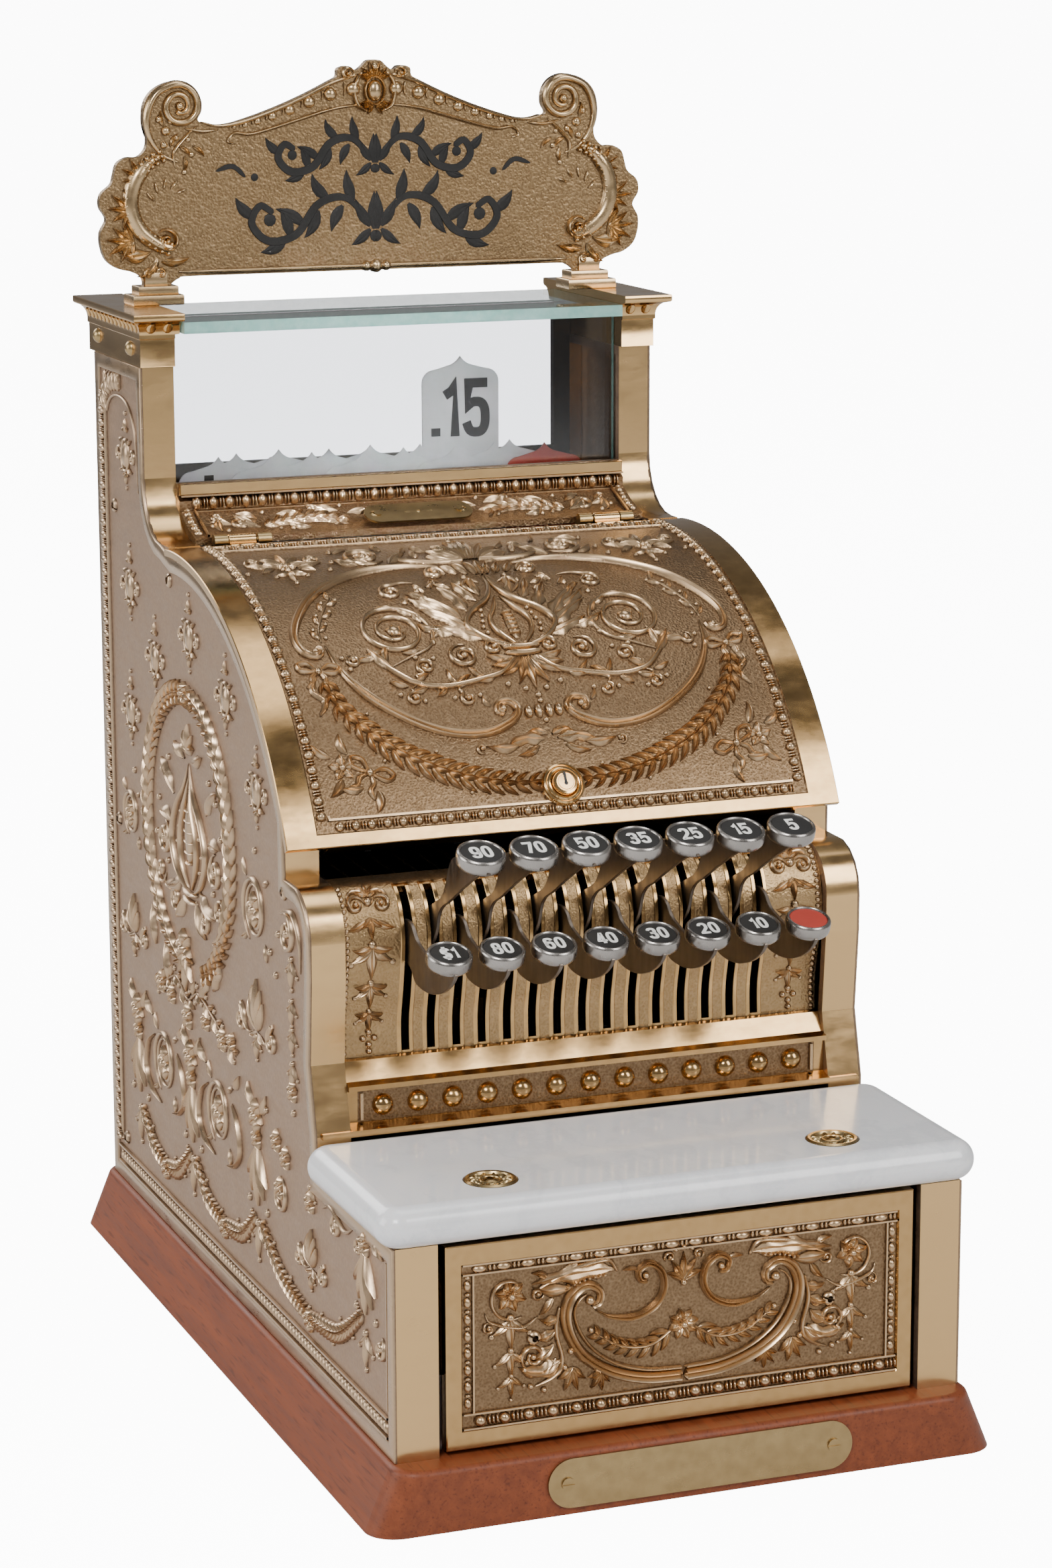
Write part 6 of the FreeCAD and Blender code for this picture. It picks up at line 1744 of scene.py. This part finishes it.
def build_rear():
    """Customer's side of the back panel, dressed like the sides."""
    p = Piece(on_rear(REAR_Y))
    frame_line = [(-100, 31), (100, 31), (100, 343), (-100, 343)]
    ridge(p, frame_line, 5, 0.9, form=FLAT, loop=True, straight=True)
    for side in (-1, 1):
        bead_row(p, [(side * 93.5, 37), (side * 93.5, 337)], 5.4, 1.9, 2.6, 2, 1.5)
    for v in (37.5, 336.5):
        bead_row(p, [(-90, v), (90, v)], 5.4, 1.9, 2.4, 2, 1.5)
    wreath(p, 0, 200, 58, 62, 12, 2.0)
    pod(p, 0, 200, 46, 62, 6)
    dome(p, 0, 198, 4.2, 15, 1.6)
    fan(p, 0, 234, 13, 90, 110, 5, 0.36, 1.8)
    rosette(p, 0, 262, 6, 6, 2.2)
    for side in (-1, 1):
        scroll(p, side * 36, 190, 8, 1.5, 90, side, 2.2, 1.6)
        leaf(p, side * 14, 176, 24, 7, -90 + side * 58, side * 40, 2.0, 2)
        leaf(p, side * 24, 214, 22, 7, 90 - side * 40, side * -30, 1.8, 2)
        for u, v in ((74, 306), (74, 252), (74, 150), (36, 300)):
            fleuron(p, side * u, v, 0.92)
        medallion(p, side * 74, 200, 13)
        drop_fan(p, side * 74, 112, 27)
        garland(p, [(side * 66, 84), (side * 36, 62), (0, 56)], 9, 4, 1.8)
        shell_pod(p, side * 30, 96, 15)
    rosette(p, 0, 56, 7, 6, 2.2)
    rosette(p, 0, 120, 8, 6, 2.2)
    fleuron(p, 0, 304, 0.92)
    for u, v in ((-88, 44), (88, 44), (-88, 330), (88, 330)):
        screw_head(p, u, v, 3, 30)
    p.make("rear_panel_ornament", "cabinet", (cast,), sharp=50)


build_drawer()
build_keyboard_plate()
build_keys()
build_flag_numerals()
build_front_panel()
build_cornices()
build_sign()
build_shelf_rosettes()
build_rear()


# ------------------------------------------------------------------ camera and light

def build_camera():
    position = Vector((-0.59351, -1.57991, 0.60459))
    azimuth, elevation, roll = (math.radians(x) for x in (-20.94, 12.505, -0.171))
    back = Vector((math.sin(azimuth) * math.cos(elevation),
                   -math.cos(azimuth) * math.cos(elevation), math.sin(elevation)))
    right = Vector((0, 0, 1)).cross(back).normalized()
    up = back.cross(right)
    tilted_right = right * math.cos(roll) + up * math.sin(roll)
    tilted_up = up * math.cos(roll) - right * math.sin(roll)
    data = bpy.data.cameras.new("camera")
    data.sensor_fit = "VERTICAL"
    data.sensor_height = 36
    data.lens = 93.88
    data.shift_x, data.shift_y = 0.00005, 0.01458
    data.clip_start, data.clip_end = 0.05, 200
    camera = bpy.data.objects.new("camera", data)
    turn = Matrix((tilted_right, tilted_up, back)).transposed().to_4x4()
    camera.matrix_world = Matrix.Translation(position) @ turn
    bpy.context.scene.collection.objects.link(camera)
    bpy.context.scene.camera = camera


def area_light(name, position, target, size, power, spread=180):
    data = bpy.data.lights.new(name, "AREA")
    data.shape = "RECTANGLE"
    data.size, data.size_y = size
    data.energy = power
    data.spread = math.radians(spread)
    lamp = bpy.data.objects.new(name, data)
    lamp.location = position
    lamp.rotation_euler = (Vector(target) - Vector(position)).to_track_quat("-Z", "Y").to_euler()
    bpy.context.scene.collection.objects.link(lamp)


BACKGROUND_GLOW = 11.0
WORLD_STRENGTH = 0.36


def build_studio():
    size = 80
    mesh = bpy.data.meshes.new("floor")
    mesh.from_pydata([(-size, -size, 0), (size, -size, 0), (size, size, 0), (-size, size, 0)],
                     [], [(0, 1, 2, 3)])
    floor = bpy.data.objects.new("floor", mesh)
    floor.location.z = -0.0004
    bpy.context.scene.collection.objects.link(floor)
    material, tree, shader, where = start("floor_look", Roughness=0.9,
                                          Specular_IOR_Level=0.1)
    shade = noise(tree, where, 3, 2)
    pale = blend(tree, shade, (0.90, 0.90, 0.90), (0.93, 0.93, 0.93))
    seen = add(tree, "LightPath").outputs["Is Camera Ray"]
    tree.links.new(blend(tree, seen, (0.85, 0.85, 0.85), pale), shader.inputs["Base Color"])
    shader.inputs["Emission Color"].default_value = (1, 1, 1, 1)
    tree.links.new(times(tree, seen, BACKGROUND_GLOW),
                   shader.inputs["Emission Strength"])
    mesh.materials.append(material)
    # name, place, aim, size, power in watts and, for the narrow one, its spread in degrees
    area_light("key", (-1.3, -1.7, 2.0), (0, 0, 0.25), (0.8, 0.7), 50)
    area_light("front", (1.2, -2.0, 1.6), (0, -0.1, 0.2), (1.0, 1.6), 40)
    area_light("top", (0.3, 0.2, 2.4), (0, 0, 0.2), (1.4, 1.0), 14)
    area_light("left", (-2.2, 0.3, 1.0), (0, 0, 0.25), (1.2, 1.2), 26)
    area_light("rear", (-0.8, 2.2, 1.5), (0, 0, 0.3), (1.4, 1.2), 28)
    area_light("window", (-0.35, -1.5, 0.62), (0, 0.16, 0.372), (0.06, 0.06), 0.055, 7)
    world = bpy.data.worlds.new("studio")
    world.use_nodes = True
    tree = world.node_tree
    back = tree.nodes["Background"]
    direction = split(tree, add(tree, "TexCoord").outputs["Generated"])
    height = span(tree, direction[2], -0.2, 0.9)
    depth = blend(tree, height, (0.9, 0.89, 0.88), (0.4, 0.4, 0.4))
    rear = span(tree, direction[1], -0.2, 0.9)
    depth = blend(tree, times(tree, rear, 0.4), depth, (0.55, 0.55, 0.56))
    seen = add(tree, "LightPath").outputs["Is Camera Ray"]
    glow = (BACKGROUND_GLOW / WORLD_STRENGTH,) * 3
    tree.links.new(blend(tree, seen, depth, glow), back.inputs["Color"])
    back.inputs["Strength"].default_value = WORLD_STRENGTH
    bpy.context.scene.world = world


build_camera()
build_studio()
